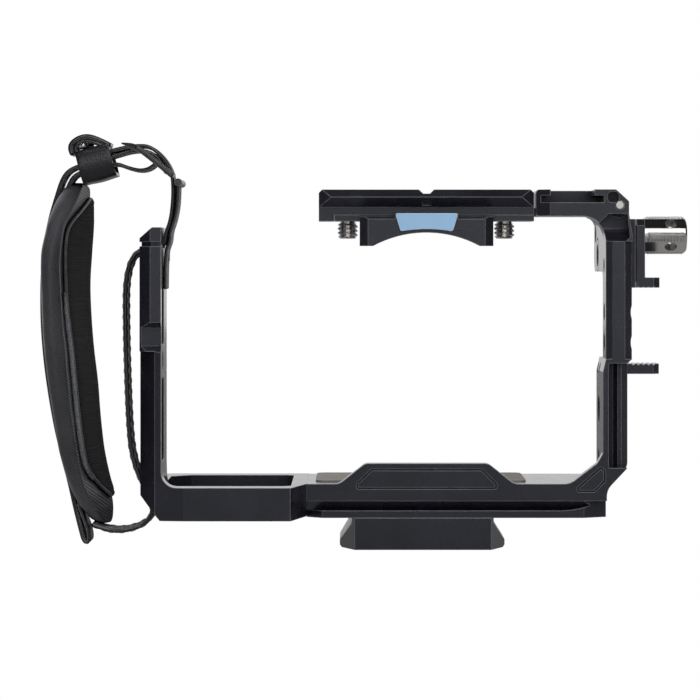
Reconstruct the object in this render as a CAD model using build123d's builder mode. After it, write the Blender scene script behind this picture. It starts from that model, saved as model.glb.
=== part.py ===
from build123d import *
import os
from math import asin, degrees, sqrt

# Camera cage: a machined aluminium frame with a grip arm, an accessory rail, a cable clamp and a hand
# strap. Millimetres. +X towards the clamp side, +Y away from the lens, +Z up. The origin is the tripod
# socket in the flat underside of the quick-release plate.

# ---- camera that the cage holds
camera_width = 129.7
camera_height = 77.8
side_clearance = 0.9
height_clearance = 0.55
lens_x = 1.1

# ---- overall heights and depths
cage_depth = 50.0
plate_height = 9.6
base_height = 10.2
top_height = 9.5
front_y = -cage_depth / 2
back_y = cage_depth / 2
base_bottom = plate_height
base_top = base_bottom + base_height

# ---- fits
running_fit = 0.05
seat_fit = 0.1
soft_gap = 0.3

# ---- camera seat pad, let into the base
pad_left_x = -32.2
pad_right_x = 31.4
pad_front_y = -16.0
pad_back_y = 22.5
pad_corner = 3.0
pad_recess = 0.8
pad_proud = 0.55
seat_z = base_top + pad_proud
ceiling_z = seat_z + camera_height + height_clearance
top_z = ceiling_z + top_height

# ---- base bar
base_left_x = -35.0
arm_face_x = 54.0
base_right_x = arm_face_x + 1.2
lip_height = 2.2
groove_depth = 2.9
lip_z = base_bottom + lip_height
groove_top_z = lip_z + groove_depth
lip_chamfer = 4.7
run_out_length = 14.0
run_out_rise = 4.0
corner_run = 6.9
corner_set_back = 4.5

# ---- raised lip in front of the camera, and the slope that ties it to the arm
lip_wall = 5.0
hump_top_z = base_top + 6.15
hump_half_top = 18.45
hump_half_foot = 26.25
hump_top_radius = 3.0
hump_foot_radius = 4.0
slope_foot_x = arm_face_x - 9.9
slope_knee_x = arm_face_x - 1.7
slope_knee_z = base_top + 6.2
slope_top_z = base_top + 9.2
slope_radius = 5.0
engraving_width = 0.5
engraving_depth = 0.5
panel_corner = 0.6
panel_foot_inset = 5.4
panel_top_inset = 1.9
panel_bottom_z = base_top - 1.3
heel_panel_left_x = arm_face_x - 7.7
heel_panel_right_x = arm_face_x + 0.5
heel_panel_bottom_z = base_top - 2.2
heel_panel_top_z = base_top + 4.8
heel_panel_corner = 0.4
heel_panel_bevel = 3.1

# ---- right arm
lower_wall = 7.7
lower_depth = 27.0
step_z = base_top + 33.6
step_height = 3.9
upper_face_x = arm_face_x + 0.9
upper_wall = 7.95
upper_depth = 12.8
lower_out_x = arm_face_x + lower_wall
upper_out_x = upper_face_x + upper_wall
upper_start_z = step_z + step_height
heel_z = base_top + 5.1
heel_foot_z = base_top - 1.8
heel_radius = 3.0
heel_foot_radius = 5.0
relief_top_z = upper_start_z - 1.3
relief_bottom_z = base_top + 4.8
strip_width = 1.7
pocket_depth = 4.0
pocket_floor = 1.6
ridge_offset = 4.6
ridge_width = 1.1
ridge_depth = 2.5
outer_relief = 4.7
front_bevel = 2.25
inner_bevel = 2.0
inner_bevel_depth = 0.6

# ---- ear behind the arm, and the corner above it
ear_bottom_z = top_z - 24.7
ear_corner = 5.0
ear_neck_radius = 3.0
block_depth = 25.0
block_wall = 8.0
block_bottom_z = top_z - block_wall
front_corner_radius = 6.9
rear_corner_radius = 3.0
scoop_top_z = top_z - 7.3
scoop_bottom_z = scoop_top_z - 8.3
scoop_depth = 4.0
scoop_floor_radius = 6.0
scoop_left_reach = 2.9
scoop_left_drop = 1.2
scoop_top_wall = 0.75
scoop_bottom_wall = 0.7

# ---- strap lug at the top corner
lug_x = 59.1
lug_z = top_z - 4.7
lug_radius = 2.75
pin_radius = 1.15
pin_hole_radius = 1.4
lug_front_wall = 4.0
strap_slot_width = 12.0
strap_slot_radius = 3.6
pin_back_grip = 3.0

# ---- cold shoe
shoe_x = 44.9
shoe_gap = 13.2
shoe_width = 18.8
shoe_slot_height = 2.1
shoe_bevel_width = 4.1
shoe_bevel_depth = 2.4
shoe_lip = 1.8
shoe_length = 20.0
shoe_floor_z = top_z - shoe_lip - shoe_slot_height
step_pocket_width = 3.3
step_pocket_depth = 2.5
step_pocket_roof = 0.7

# ---- accessory rail and the tongue under it
rail_seam = 0.6
shoe_left_x = 34.05
rail_right_x = shoe_left_x - rail_seam
rail_left_x = -31.3
rail_y = -14.4
neck_half = 7.6
ridge_half = 10.6
neck_height = 2.3
ridge_height = 3.0
crown_height = 2.3
tongue_left_x = -26.6
rail_bottom_z = top_z - crown_height - ridge_height - neck_height
neck_top_z = rail_bottom_z + neck_height
ridge_z = neck_top_z + ridge_height
crown_half = ridge_half - crown_height
ridge_chamfer = 3.8
tongue_front_y = rail_y - 8.1
tongue_back_y = rail_y + 8.1
core_half = 5.6
core_height = 2.0
core_top_z = rail_bottom_z + core_height
end_chamfer = 1.0
notch_half_top = 2.3
notch_half_bottom = 1.0
notch_depth = 1.25
index_z = neck_top_z + 0.6
index_recess_radius = 1.3
index_recess_depth = 1.6
index_screw_radius = 0.8
index_screw_length = 3.0

# ---- arched skirt under the tongue, and its badge
skirt_half = 20.1
skirt_front_y = -25.5
skirt_back_y = -21.0
skirt_chamfer = 2.5
skirt_bottom_z = ceiling_z - 7.5
skirt_top_z = ceiling_z + 1.3
skirt_top_bevel = 0.7
arch_radius = 33.8
arch_apex_z = ceiling_z - 3.45
badge_half_top = 9.45
badge_half_bottom = 7.8
badge_top_z = ceiling_z + 2.3
badge_bottom_z = ceiling_z - 3.1
badge_rise = 0.7
badge_corner = 0.6
badge_thickness = 0.9
badge_tab_y = rail_y - neck_half - seat_fit

# ---- camera screws
camera_screw_offset = 23.7
camera_screw_radius = 3.0
camera_screw_reach = 5.2
camera_thread_length = 4.6
camera_neck_radius = 2.3
camera_head_radius = 4.5
camera_head_height = 3.5
camera_head_bore = 4.8
driver_radius = 1.9
driver_depth = 2.0
base_head_radius = 6.0
base_head_height = 3.2
base_screw_reach = 4.1
base_thread_length = 3.2
slot_width = 1.2
slot_depth = 1.2
rail_screw_offset = 13.1
rail_screw_radius = 1.5
rail_head_radius = 2.75
rail_head_height = 2.4
rail_head_bore = 2.95
rail_screw_length = 5.0

# ---- tapped and plain holes in the right arm
quarter_inch_radius = 2.7
three_eighth_radius = 4.2
spotface_radius = 5.5
spotface_depth = 0.5
upper_hole_y = -17.6
upper_hole_z = (upper_start_z + 4.9, upper_start_z + 14.0)
lower_hole_y = -7.4
quarter_hole_z = base_top + 6.9
three_eighth_hole_z = base_top + 21.8
ear_back_hole_y = 18.0
ear_back_hole_z = top_z - 13.1
ear_back_hole_radius = 2.75
ear_middle_hole_y = 9.5
ear_middle_hole_z = top_z - 19.7
ear_middle_hole_radius = 3.55
ear_middle_ring = 5.5
ear_ring_depth = 0.6
ear_front_hole_y = -17.0
ear_front_hole_z = top_z - 22.7
ear_front_hole_radius = 2.2

# ---- quick-release plate
plate_half = 25.0
plate_nose_half = 20.5
plate_nose_length = 12.0
plate_top_half = 21.3
plate_edge_bottom = 0.7
plate_edge_top = 2.3
plate_neck_z = 8.0
edge_bevel = 0.6
tripod_socket_radius = 3.97
small_socket_radius = 2.65
small_socket_y = 15.0
plate_screw_x = 15.0
plate_screw_y = 17.0
plate_screw_radius = 2.0
plate_head_radius = 3.6
plate_head_height = 2.6
plate_head_bore = 3.8
plate_screw_bite = 6.0

# ---- grip arm and its loop
grip_face_x = arm_face_x - camera_width - 2 * side_clearance
grip_wall = 6.5
grip_out_x = grip_face_x - grip_wall
grip_front_y = -45.0
grip_back_y = -14.0
grip_top_z = ceiling_z - 2.1
loop_bottom_z = base_bottom + 0.5
loop_height = 9.8
loop_top_z = loop_bottom_z + loop_height
front_bar = 8.5
back_bar = 8.5
side_bar = 4.4
loop_back_corner = 6.0
window_corner = 2.0
upper_facet_x = 3.3
upper_facet_y = 3.6
lower_facet_x = 4.6
lower_facet_y = 6.0
lower_set_back = 1.5
bar_bevel_x = 6.6
lower_section_z = loop_bottom_z + 49.9
waist_top_z = lower_section_z + 8.6
waist_depth = 3.0
waist_slope = 1.6
cap_chamfer_x = 3.9
cap_chamfer_z = 3.2
band_bottom_z = grip_top_z - 5.6
band_height = 1.3
band_depth = 0.6
heel_chamfer_x = 6.1
heel_chamfer_z = 7.2
inner_fillet = 4.5
back_fillet = 8.0
strap_slot_z = grip_top_z - 4.9
strap_slot_height = 2.5
inner_pocket_depth = 3.0
inner_pocket_y = -34.5
inner_pocket_width = 11.0
inner_pocket_radius = 2.0
upper_pocket_z = loop_bottom_z + 60.4
upper_pocket_height = 17.0
middle_pocket_z = loop_bottom_z + 47.2
middle_pocket_radius = 3.0
lower_pocket_z = loop_bottom_z + 29.7
lower_pocket_height = 24.4
grip_screw_y = 9.0
grip_screw_z = base_bottom + 5.2
grip_screw_radius = 2.0
grip_head_radius = 3.5
grip_head_height = 2.2
grip_head_bore = 3.7
grip_screw_bite = 8.0

# ---- cable clamp
clamp_y = -5.0
clamp_width = 14.0
clamp_height = 20.9
clamp_top_z = top_z - 8.7
clamp_bottom_z = clamp_top_z - clamp_height
clamp_rail_out_x = upper_out_x + 1.95
clamp_rail_thickness = 2.4
slot_half = 2.5
slot_bottom_z = clamp_bottom_z + 1.3
slot_top_z = clamp_top_z - 1.8
nut_pocket_half = 4.2
nut_pocket_depth = 2.8
nut_pocket_top_z = clamp_top_z - 0.6
jaw_gap = 0.5
jaw_thickness = 2.45
jaw_runner_half = 6.0
jaw_tongue_height = 6.0
foot_reach = clamp_rail_out_x + 7.5
foot_height = 3.1
foot_chamfer = 1.9
tooth_pitch = 1.55
tooth_depth = 0.45
tooth_count = 4
jaw_bevel = 2.0
stud_z = clamp_top_z - 4.9
stud_radius = 2.0
nut_half = 4.0
nut_thickness = 2.4
knob_radius = 5.35
knob_length = 13.0
knob_end_bulge = 0.6
knob_flat_distance = 4.95
knob_hole_radius = 1.8
knob_hole_offset = 4.9
knob_hole_depth = 3.4
bar_top_z = step_z + 2.1
bar_thickness = 3.1
bar_reach = foot_reach - 0.2
bar_tenon = 2.0
bar_tenon_half = 5.0
bar_screw_radius = 0.9
bar_screw_head = 1.7
bar_screw_spacing = 7.0
bar_screw_bite = 5.0
bar_screw_head_height = 1.4

# ---- hand strap
strap_y = -29.5
strap_width = 12.0
strap_thickness = 1.1
strap_rest = 0.1
tip_y = strap_y - strap_width - soft_gap
# ---- leather keeper over the buckle, and the strap layers in it
keeper_x = grip_out_x - 13.3
keeper_z = grip_top_z + 18.9
keeper_tilt = 15.0
keeper_length = 10.2
keeper_height = 10.2
keeper_wall = 1.1
keeper_depth = 15.4
layer_pitch = 1.8
buckle_wire = 1.6
buckle_length = 5.4
buckle_shift = -2.2

# ---- padded back of the hand strap: bowed round the hand, and bent along its height
pad_y = -30.0
pad_half_width = 25.0
pad_top_half = 11.0
pad_bottom_half = 9.0
pad_top_z = keeper_z - 10.0
pad_bottom_z = loop_bottom_z + 1.0
pad_shoulder_drop = 15.5
pad_taper_height = 30.0
pad_wide_z = pad_top_z - 28.5
pad_back_x = grip_out_x - 28.4
pad_top_inset = 4.6
pad_bottom_inset = 12.0
pad_upper_radius = ((pad_top_z - pad_wide_z) ** 2 + pad_top_inset**2) / (2 * pad_top_inset)
pad_lower_radius = ((pad_wide_z - pad_bottom_z) ** 2 + pad_bottom_inset**2) / (2 * pad_bottom_inset)
pad_bow_radius = 42.0
pad_shoulder_radius = 15.0
pad_taper_radius = 40.0
pad_end_radius = 5.0
cover_wall = 3.2
lining_wall = 2.6
lining_inset = 3.2
fold_bar_x = grip_face_x + 5.2
fold_bar_z = grip_top_z + 13.2
fold_bar_radius = 1.1
rivet_radius = 1.1
rivet_head = 0.6
rivet_z = strap_slot_z - 3.9


def front_plane(y):
    """Sketch plane that looks along +Y: x is X and y is Z. A negative extrusion goes back."""
    return Plane(origin=(0, y, 0), x_dir=(1, 0, 0), z_dir=(0, -1, 0))


def side_plane(x):
    """Sketch plane at x: x is Y and y is Z. A positive extrusion goes towards +X."""
    return Plane.YZ.offset(x)


def upper_outline(corner_radius):
    """Front outline of the upper arm, the shoe block and the strap lug."""
    with BuildSketch(front_plane(front_y)) as outline:
        with BuildLine():
            FilletPolyline(
                (upper_face_x, upper_start_z),
                (upper_face_x, block_bottom_z),
                (shoe_left_x, block_bottom_z),
                (shoe_left_x, top_z),
                (lug_x - pin_radius, top_z),
                (lug_x + lug_radius, lug_z + pin_radius),
                (lug_x + lug_radius, lug_z - lug_radius),
                (upper_out_x, stud_z),
                (upper_out_x, upper_start_z),
                (lower_out_x, upper_start_z - 1.0),
                (upper_face_x, upper_start_z - 1.0),
                radius=[0, corner_radius, end_chamfer, end_chamfer, pin_radius, end_chamfer, 0, 0, 0, 0, 0],
                close=True,
            )
        make_face()
    return outline.sketch


def strap_ribbon(route, bends, y, width):
    """Flat strap seen edge-on: a ribbon of constant thickness along a route of (x, z) points."""
    with BuildSketch(front_plane(y)) as edge:
        with BuildLine():
            FilletPolyline(*route, radius=bends)
        trace(line_width=strap_thickness)
    with BuildPart() as ribbon:
        extrude(edge.sketch, amount=width / 2, both=True)
    return ribbon.part


os.makedirs("parts", exist_ok=True)

# ---------------------------------------------------------------- main frame
skirt_left_x = lens_x - skirt_half
skirt_right_x = lens_x + skirt_half
clamp_front_y = clamp_y - clamp_width / 2
clamp_back_y = clamp_y + clamp_width / 2

# cutter for the scoop in the corner above the arm: an outline seen from the front, over a curved floor
with BuildPart() as scoop_cutter:
    with BuildSketch(front_plane(front_y)):
        with BuildLine():
            Polyline(
                (upper_face_x + scoop_top_wall, scoop_top_z),
                (upper_out_x - 2 * scoop_top_wall, scoop_top_z),
                (upper_out_x - scoop_bottom_wall, scoop_bottom_z + scoop_left_drop),
                (upper_out_x - scoop_bottom_wall - scoop_left_drop, scoop_bottom_z),
                (upper_face_x - scoop_left_reach, scoop_bottom_z),
                (upper_face_x - scoop_left_reach, scoop_top_z - scoop_left_reach - scoop_top_wall),
                close=True,
            )
        make_face()
    extrude(amount=-scoop_depth)
    with BuildSketch(side_plane(upper_face_x - scoop_left_reach)):
        with BuildLine():
            RadiusArc(
                (front_y, scoop_bottom_z),
                (front_y + scoop_depth, scoop_bottom_z + scoop_depth),
                -scoop_floor_radius,
            )
            Polyline(
                (front_y + scoop_depth, scoop_bottom_z + scoop_depth),
                (front_y + scoop_depth, scoop_top_z),
                (front_y, scoop_top_z),
                (front_y, scoop_bottom_z),
            )
        make_face()
    extrude(amount=upper_out_x - upper_face_x + scoop_left_reach, mode=Mode.INTERSECT)


with BuildPart() as main_frame:
    # upper arm, ear and shoe block: front outline cut to the side outline
    extrude(upper_outline(rear_corner_radius), amount=-cage_depth)
    with BuildSketch(side_plane(shoe_left_x)):
        with BuildLine():
            FilletPolyline(
                (front_y, upper_start_z - 1.0),
                (front_y, top_z),
                (front_y + block_depth, top_z),
                (front_y + block_depth, block_bottom_z),
                (back_y, block_bottom_z),
                (back_y, ear_bottom_z),
                (front_y + upper_depth, ear_bottom_z),
                (front_y + upper_depth, upper_start_z - 1.0),
                radius=[0, 0, 0, 0, ear_corner, ear_corner, ear_neck_radius, 0],
                close=True,
            )
        make_face()
    extrude(amount=upper_out_x - shoe_left_x, mode=Mode.INTERSECT)
    # the corner's front has a larger inner radius
    extrude(upper_outline(front_corner_radius), amount=-upper_depth)

    # lower arm, with its heel
    with BuildSketch(front_plane(front_y)):
        with BuildLine():
            FilletPolyline(
                (arm_face_x, groove_top_z),
                (arm_face_x, step_z),
                (upper_face_x, upper_start_z),
                (lower_out_x, upper_start_z),
                (lower_out_x, heel_z),
                (base_right_x, heel_foot_z),
                (base_right_x, groove_top_z),
                radius=[0, 0, 0, 0, heel_radius, heel_foot_radius, 0],
                close=True,
            )
        make_face()
    extrude(amount=-lower_depth)

    # base bar, with a dovetail groove along its front and back
    with BuildSketch(side_plane(base_left_x)):
        with BuildLine():
            Polyline(
                (0, base_bottom),
                (front_y, base_bottom),
                (front_y, lip_z),
                (front_y + groove_depth, lip_z),
                (front_y, groove_top_z),
                (front_y, base_top),
                (0, base_top),
                close=True,
            )
        make_face()
        mirror(about=Plane.YZ)
    extrude(amount=base_right_x - base_left_x)

    # the front groove runs out in a curve at its right end
    with BuildSketch(front_plane(front_y)):
        with BuildLine():
            TangentArc(
                (base_right_x - run_out_length, lip_z),
                (base_right_x, lip_z + run_out_rise),
                tangent=(1, 0),
            )
            Polyline(
                (base_right_x, lip_z + run_out_rise),
                (base_right_x, lip_z),
                (base_right_x - run_out_length, lip_z),
            )
        make_face()
    extrude(amount=-groove_depth)
    with BuildSketch(Plane.XY.offset(base_bottom)):
        with BuildLine():
            Polyline(
                (base_right_x - corner_run, front_y),
                (base_right_x, front_y + corner_set_back),
                (base_right_x, front_y),
                close=True,
            )
        make_face()
    extrude(amount=groove_top_z - base_bottom, mode=Mode.SUBTRACT)
    with BuildSketch(Plane.XY.offset(base_bottom)):
        with BuildLine():
            Polyline(
                (base_left_x, front_y),
                (base_left_x + lip_chamfer, front_y),
                (base_left_x, front_y + lip_chamfer),
                close=True,
            )
        make_face()
        mirror(about=Plane.XZ)
    extrude(amount=lip_height, mode=Mode.SUBTRACT)

    # raised lip in front of the camera, and the slope up to the arm
    with BuildSketch(front_plane(front_y)):
        with BuildLine():
            FilletPolyline(
                (lens_x - hump_half_foot - hump_foot_radius, base_top),
                (lens_x - hump_half_foot, base_top),
                (lens_x - hump_half_top, hump_top_z),
                (lens_x + hump_half_top, hump_top_z),
                (lens_x + hump_half_foot, base_top),
                (slope_foot_x, base_top),
                (slope_knee_x, slope_knee_z),
                (arm_face_x, slope_top_z),
                (base_right_x, slope_top_z),
                (base_right_x, groove_top_z),
                (lens_x - hump_half_foot - hump_foot_radius, groove_top_z),
                radius=[
                    0, hump_foot_radius, hump_top_radius, hump_top_radius, hump_foot_radius,
                    slope_radius, 1.0, 0, 0, 0, 0,
                ],
                close=True,
            )
        make_face()
    extrude(amount=-lip_wall)

    # engraved outlines on the lip and on the heel of the arm
    with BuildSketch(front_plane(front_y)):
        with BuildLine():
            FilletPolyline(
                (lens_x - hump_half_foot + panel_foot_inset, panel_bottom_z),
                (lens_x - hump_half_foot + panel_foot_inset, base_top),
                (lens_x - hump_half_top + panel_top_inset, hump_top_z - panel_top_inset),
                (lens_x + hump_half_top - panel_top_inset, hump_top_z - panel_top_inset),
                (lens_x + hump_half_foot - panel_foot_inset, base_top),
                (lens_x + hump_half_foot - panel_foot_inset, panel_bottom_z),
                radius=panel_corner,
                close=True,
            )
        trace(line_width=engraving_width)
    extrude(amount=-engraving_depth, mode=Mode.SUBTRACT)
    with BuildSketch(front_plane(front_y)):
        with BuildLine():
            FilletPolyline(
                (heel_panel_left_x + heel_panel_corner, heel_panel_bottom_z),
                (heel_panel_left_x, heel_panel_bottom_z + 2 * heel_panel_corner),
                (heel_panel_right_x - 3 * heel_panel_corner, heel_panel_top_z),
                (heel_panel_right_x, heel_panel_top_z - 2 * heel_panel_corner),
                (heel_panel_right_x, heel_panel_bottom_z + heel_panel_bevel),
                (heel_panel_right_x - heel_panel_bevel, heel_panel_bottom_z),
                radius=heel_panel_corner,
                close=True,
            )
        trace(line_width=engraving_width)
    extrude(amount=-engraving_depth, mode=Mode.SUBTRACT)

    # tongue that carries the rail, its core and the tab behind the badge
    with BuildSketch(Plane.XY.offset(ceiling_z)):
        with Locations(((tongue_left_x + rail_right_x) / 2, (tongue_front_y + tongue_back_y) / 2)):
            Rectangle(rail_right_x - tongue_left_x, tongue_back_y - tongue_front_y)
    extrude(amount=rail_bottom_z - ceiling_z)
    with BuildSketch(Plane.XY.offset(block_bottom_z)):
        with Locations(((tongue_left_x + shoe_left_x) / 2, rail_y)):
            Rectangle(shoe_left_x - tongue_left_x, 2 * core_half)
    extrude(amount=core_top_z - block_bottom_z)

    # arched skirt, bevelled at its ends and top
    with BuildSketch(Plane.XY.offset(skirt_bottom_z)):
        with BuildLine():
            Polyline(
                (skirt_left_x, skirt_back_y),
                (skirt_left_x, skirt_front_y + skirt_chamfer),
                (skirt_left_x + skirt_chamfer, skirt_front_y),
                (skirt_right_x - skirt_chamfer, skirt_front_y),
                (skirt_right_x, skirt_front_y + skirt_chamfer),
                (skirt_right_x, skirt_back_y),
                close=True,
            )
        make_face()
    extrude(amount=skirt_top_z - skirt_bottom_z)
    with BuildSketch(side_plane(skirt_left_x)):
        with BuildLine():
            Polyline(
                (skirt_front_y, skirt_top_z),
                (skirt_front_y, skirt_top_z - skirt_top_bevel),
                (skirt_front_y + skirt_top_bevel, skirt_top_z),
                close=True,
            )
        make_face()
    extrude(amount=2 * skirt_half, mode=Mode.SUBTRACT)
    with BuildSketch(front_plane(skirt_front_y)):
        with BuildLine():
            Polyline(
                (lens_x - badge_half_top, skirt_top_z - skirt_top_bevel),
                (lens_x - badge_half_top, badge_top_z),
                (lens_x + badge_half_top, badge_top_z),
                (lens_x + badge_half_top, skirt_top_z - skirt_top_bevel),
                close=True,
            )
        make_face()
    extrude(amount=-(badge_tab_y - skirt_front_y))
    with BuildSketch(front_plane(skirt_front_y)):
        with Locations((lens_x, arch_apex_z - arch_radius)):
            Circle(arch_radius)
    extrude(amount=-(skirt_back_y - skirt_front_y), mode=Mode.SUBTRACT)

    # holes for the camera screws and the rail screws
    with Locations((lens_x - camera_screw_offset, rail_y, core_top_z)):
        Hole(camera_screw_radius + running_fit, depth=core_top_z - ceiling_z)
    with Locations((lens_x + camera_screw_offset, rail_y, core_top_z)):
        Hole(camera_screw_radius + running_fit, depth=core_top_z - ceiling_z)
    for side in (-1, 1):
        with Locations((lens_x + side * rail_screw_offset, rail_y, core_top_z)):
            Hole(rail_screw_radius + running_fit, depth=core_top_z - ceiling_z)

    # cold shoe slot, open to the front
    with BuildSketch(front_plane(front_y)):
        with Locations((shoe_x, shoe_floor_z + shoe_slot_height / 2)):
            Rectangle(shoe_width, shoe_slot_height)
        with Locations((shoe_x, (shoe_floor_z + top_z) / 2)):
            Rectangle(shoe_gap, top_z - shoe_floor_z)
    extrude(amount=-shoe_length, mode=Mode.SUBTRACT)

    # bevel down the block's front corner beside the rail
    with BuildSketch(Plane.XY.offset(block_bottom_z)):
        with BuildLine():
            Polyline(
                (shoe_left_x, front_y),
                (shoe_left_x + shoe_bevel_width, front_y),
                (shoe_left_x, front_y + shoe_bevel_depth),
                close=True,
            )
        make_face()
    extrude(amount=top_z - block_bottom_z, mode=Mode.SUBTRACT)

    # strap lug: pin hole, and the slot that lets the strap pass round the pin
    with BuildSketch(front_plane(front_y)):
        with Locations((lug_x, lug_z)):
            Circle(pin_hole_radius)
    extrude(amount=-(lug_front_wall), mode=Mode.SUBTRACT)
    with BuildSketch(front_plane(front_y + lug_front_wall)):
        with Locations((lug_x, lug_z)):
            Circle(pin_radius + running_fit)
    extrude(amount=-(strap_slot_width + pin_back_grip), mode=Mode.SUBTRACT)
    with BuildSketch(front_plane(front_y + lug_front_wall)):
        with Locations((lug_x, lug_z)):
            Circle(strap_slot_radius)
    extrude(amount=-strap_slot_width, mode=Mode.SUBTRACT)
    with BuildSketch(front_plane(front_y)):
        with Locations((shoe_x + shoe_width / 2 + step_pocket_width / 2 + pin_radius,
                        (shoe_floor_z + top_z - step_pocket_roof) / 2)):
            RectangleRounded(step_pocket_width, top_z - step_pocket_roof - shoe_floor_z, pin_radius)
    extrude(amount=-step_pocket_depth, mode=Mode.SUBTRACT)

    # scoop in the front of the top corner
    add(scoop_cutter, mode=Mode.SUBTRACT)

    # bevels along the front of the upper arm
    with BuildSketch(Plane.XY.offset(upper_start_z)):
        with BuildLine():
            Polyline(
                (upper_out_x - front_bevel, front_y),
                (upper_out_x, front_y),
                (upper_out_x, front_y + front_bevel),
                close=True,
            )
        make_face()
        with BuildLine():
            Polyline(
                (upper_face_x, front_y),
                (upper_face_x + inner_bevel, front_y),
                (upper_face_x, front_y + inner_bevel_depth),
                close=True,
            )
        make_face()
    extrude(amount=scoop_bottom_z - upper_start_z, mode=Mode.SUBTRACT)

    # relief along the front of the lower arm: pocket, ridge and outer slope
    with BuildSketch(Plane.XY.offset(relief_bottom_z)):
        with BuildLine():
            Polyline(
                (arm_face_x + strip_width, front_y),
                (arm_face_x + strip_width + seat_fit, front_y + pocket_depth),
                (arm_face_x + strip_width + pocket_floor, front_y + pocket_depth),
                (arm_face_x + ridge_offset, front_y + ridge_depth),
                (arm_face_x + ridge_offset + ridge_width, front_y + ridge_depth),
                (lower_out_x, front_y + outer_relief),
                (lower_out_x, front_y),
                close=True,
            )
        make_face()
    extrude(amount=relief_top_z - relief_bottom_z, mode=Mode.SUBTRACT)

    # tapped and plain holes through the arm and the ear, along X
    with BuildSketch(side_plane(arm_face_x)):
        with Locations(*[(upper_hole_y, z) for z in upper_hole_z]):
            Circle(quarter_inch_radius)
        with Locations((lower_hole_y, quarter_hole_z)):
            Circle(quarter_inch_radius)
        with Locations((lower_hole_y, three_eighth_hole_z)):
            Circle(three_eighth_radius)
        with Locations((ear_back_hole_y, ear_back_hole_z)):
            Circle(ear_back_hole_radius)
        with Locations((ear_middle_hole_y, ear_middle_hole_z)):
            Circle(ear_middle_hole_radius)
        with Locations((ear_front_hole_y, ear_front_hole_z)):
            Circle(ear_front_hole_radius)
    extrude(amount=upper_out_x - arm_face_x, mode=Mode.SUBTRACT)
    with BuildSketch(side_plane(upper_out_x - spotface_depth)):
        with Locations(*[(upper_hole_y, z) for z in upper_hole_z]):
            Circle(spotface_radius)
    extrude(amount=spotface_depth, mode=Mode.SUBTRACT)
    with BuildSketch(side_plane(upper_face_x)):
        with Locations((ear_middle_hole_y, ear_middle_hole_z)):
            Circle(ear_middle_ring)
            Circle(ear_middle_ring - ear_ring_depth, mode=Mode.SUBTRACT)
    extrude(amount=ear_ring_depth, mode=Mode.SUBTRACT)

    # clamp rail with its T slot, on the outer side of the ear
    with BuildSketch(side_plane(clamp_rail_out_x - clamp_rail_thickness)):
        with Locations((clamp_y, (clamp_bottom_z + clamp_top_z) / 2)):
            Rectangle(clamp_width, clamp_top_z - clamp_bottom_z)
    extrude(amount=clamp_rail_thickness)
    with BuildSketch(side_plane(lower_out_x - seat_fit)):
        with Locations((clamp_y, (ear_bottom_z + clamp_top_z) / 2)):
            Rectangle(clamp_width, clamp_top_z - ear_bottom_z)
    extrude(amount=clamp_rail_out_x - clamp_rail_thickness - lower_out_x + seat_fit)
    with BuildSketch(side_plane(clamp_rail_out_x - clamp_rail_thickness - nut_pocket_depth)):
        with Locations((clamp_y, (clamp_bottom_z + nut_pocket_top_z) / 2)):
            Rectangle(2 * nut_pocket_half, nut_pocket_top_z - clamp_bottom_z)
    extrude(amount=nut_pocket_depth, mode=Mode.SUBTRACT)
    with BuildSketch(side_plane(clamp_rail_out_x - clamp_rail_thickness)):
        with Locations((clamp_y, (slot_bottom_z + slot_top_z) / 2)):
            Rectangle(2 * slot_half, slot_top_z - slot_bottom_z)
    extrude(amount=clamp_rail_thickness, mode=Mode.SUBTRACT)

    # seat of the fixed clamp bar, and its screw holes
    with BuildSketch(side_plane(lower_out_x - bar_tenon)):
        with Locations((clamp_y, bar_top_z - bar_thickness / 2)):
            Rectangle(2 * bar_tenon_half + 2 * seat_fit, bar_thickness)
    extrude(amount=bar_tenon, mode=Mode.SUBTRACT)
    with BuildSketch(side_plane(arm_face_x)):
        with Locations((clamp_y, bar_top_z - bar_thickness / 2)):
            with GridLocations(bar_screw_spacing, 1, 2, 1):
                Circle(bar_screw_radius + running_fit)
    extrude(amount=lower_wall, mode=Mode.SUBTRACT)
    with BuildSketch(side_plane(arm_face_x)):
        with Locations((clamp_y, bar_top_z - bar_thickness / 2)):
            with GridLocations(bar_screw_spacing, 1, 2, 1):
                Circle(bar_screw_head + running_fit)
    extrude(amount=bar_screw_head_height + upper_face_x - arm_face_x, mode=Mode.SUBTRACT)

    # recess for the seat pad, and the bore of the camera screw
    with BuildSketch(Plane.XY.offset(base_top - pad_recess)):
        with Locations(((pad_left_x + pad_right_x) / 2, (pad_front_y + pad_back_y) / 2)):
            RectangleRounded(
                pad_right_x - pad_left_x + 2 * seat_fit,
                pad_back_y - pad_front_y + 2 * seat_fit,
                pad_corner + seat_fit,
            )
    extrude(amount=pad_recess, mode=Mode.SUBTRACT)
    with BuildSketch(Plane.XY.offset(base_bottom)):
        with Locations((lens_x, 0)):
            Circle(camera_screw_radius + running_fit)
    extrude(amount=base_height, mode=Mode.SUBTRACT)
    with BuildSketch(Plane.XY.offset(base_bottom)):
        with Locations((lens_x, 0)):
            Circle(base_head_radius + running_fit)
    extrude(amount=base_head_height + running_fit, mode=Mode.SUBTRACT)

    # screw holes of the plate and of the grip arm
    with BuildSketch(Plane.XY.offset(base_bottom)):
        with GridLocations(2 * plate_screw_x, 2 * plate_screw_y, 2, 2):
            Circle(plate_screw_radius + running_fit)
    extrude(amount=plate_screw_bite, mode=Mode.SUBTRACT)
    with BuildSketch(side_plane(base_left_x)):
        with Locations((-grip_screw_y, grip_screw_z), (grip_screw_y, grip_screw_z)):
            Circle(grip_screw_radius + running_fit)
    extrude(amount=grip_screw_bite, mode=Mode.SUBTRACT)

main_frame.part.label = "main_frame"
export_step(main_frame.part, "parts/main_frame.step")

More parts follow.
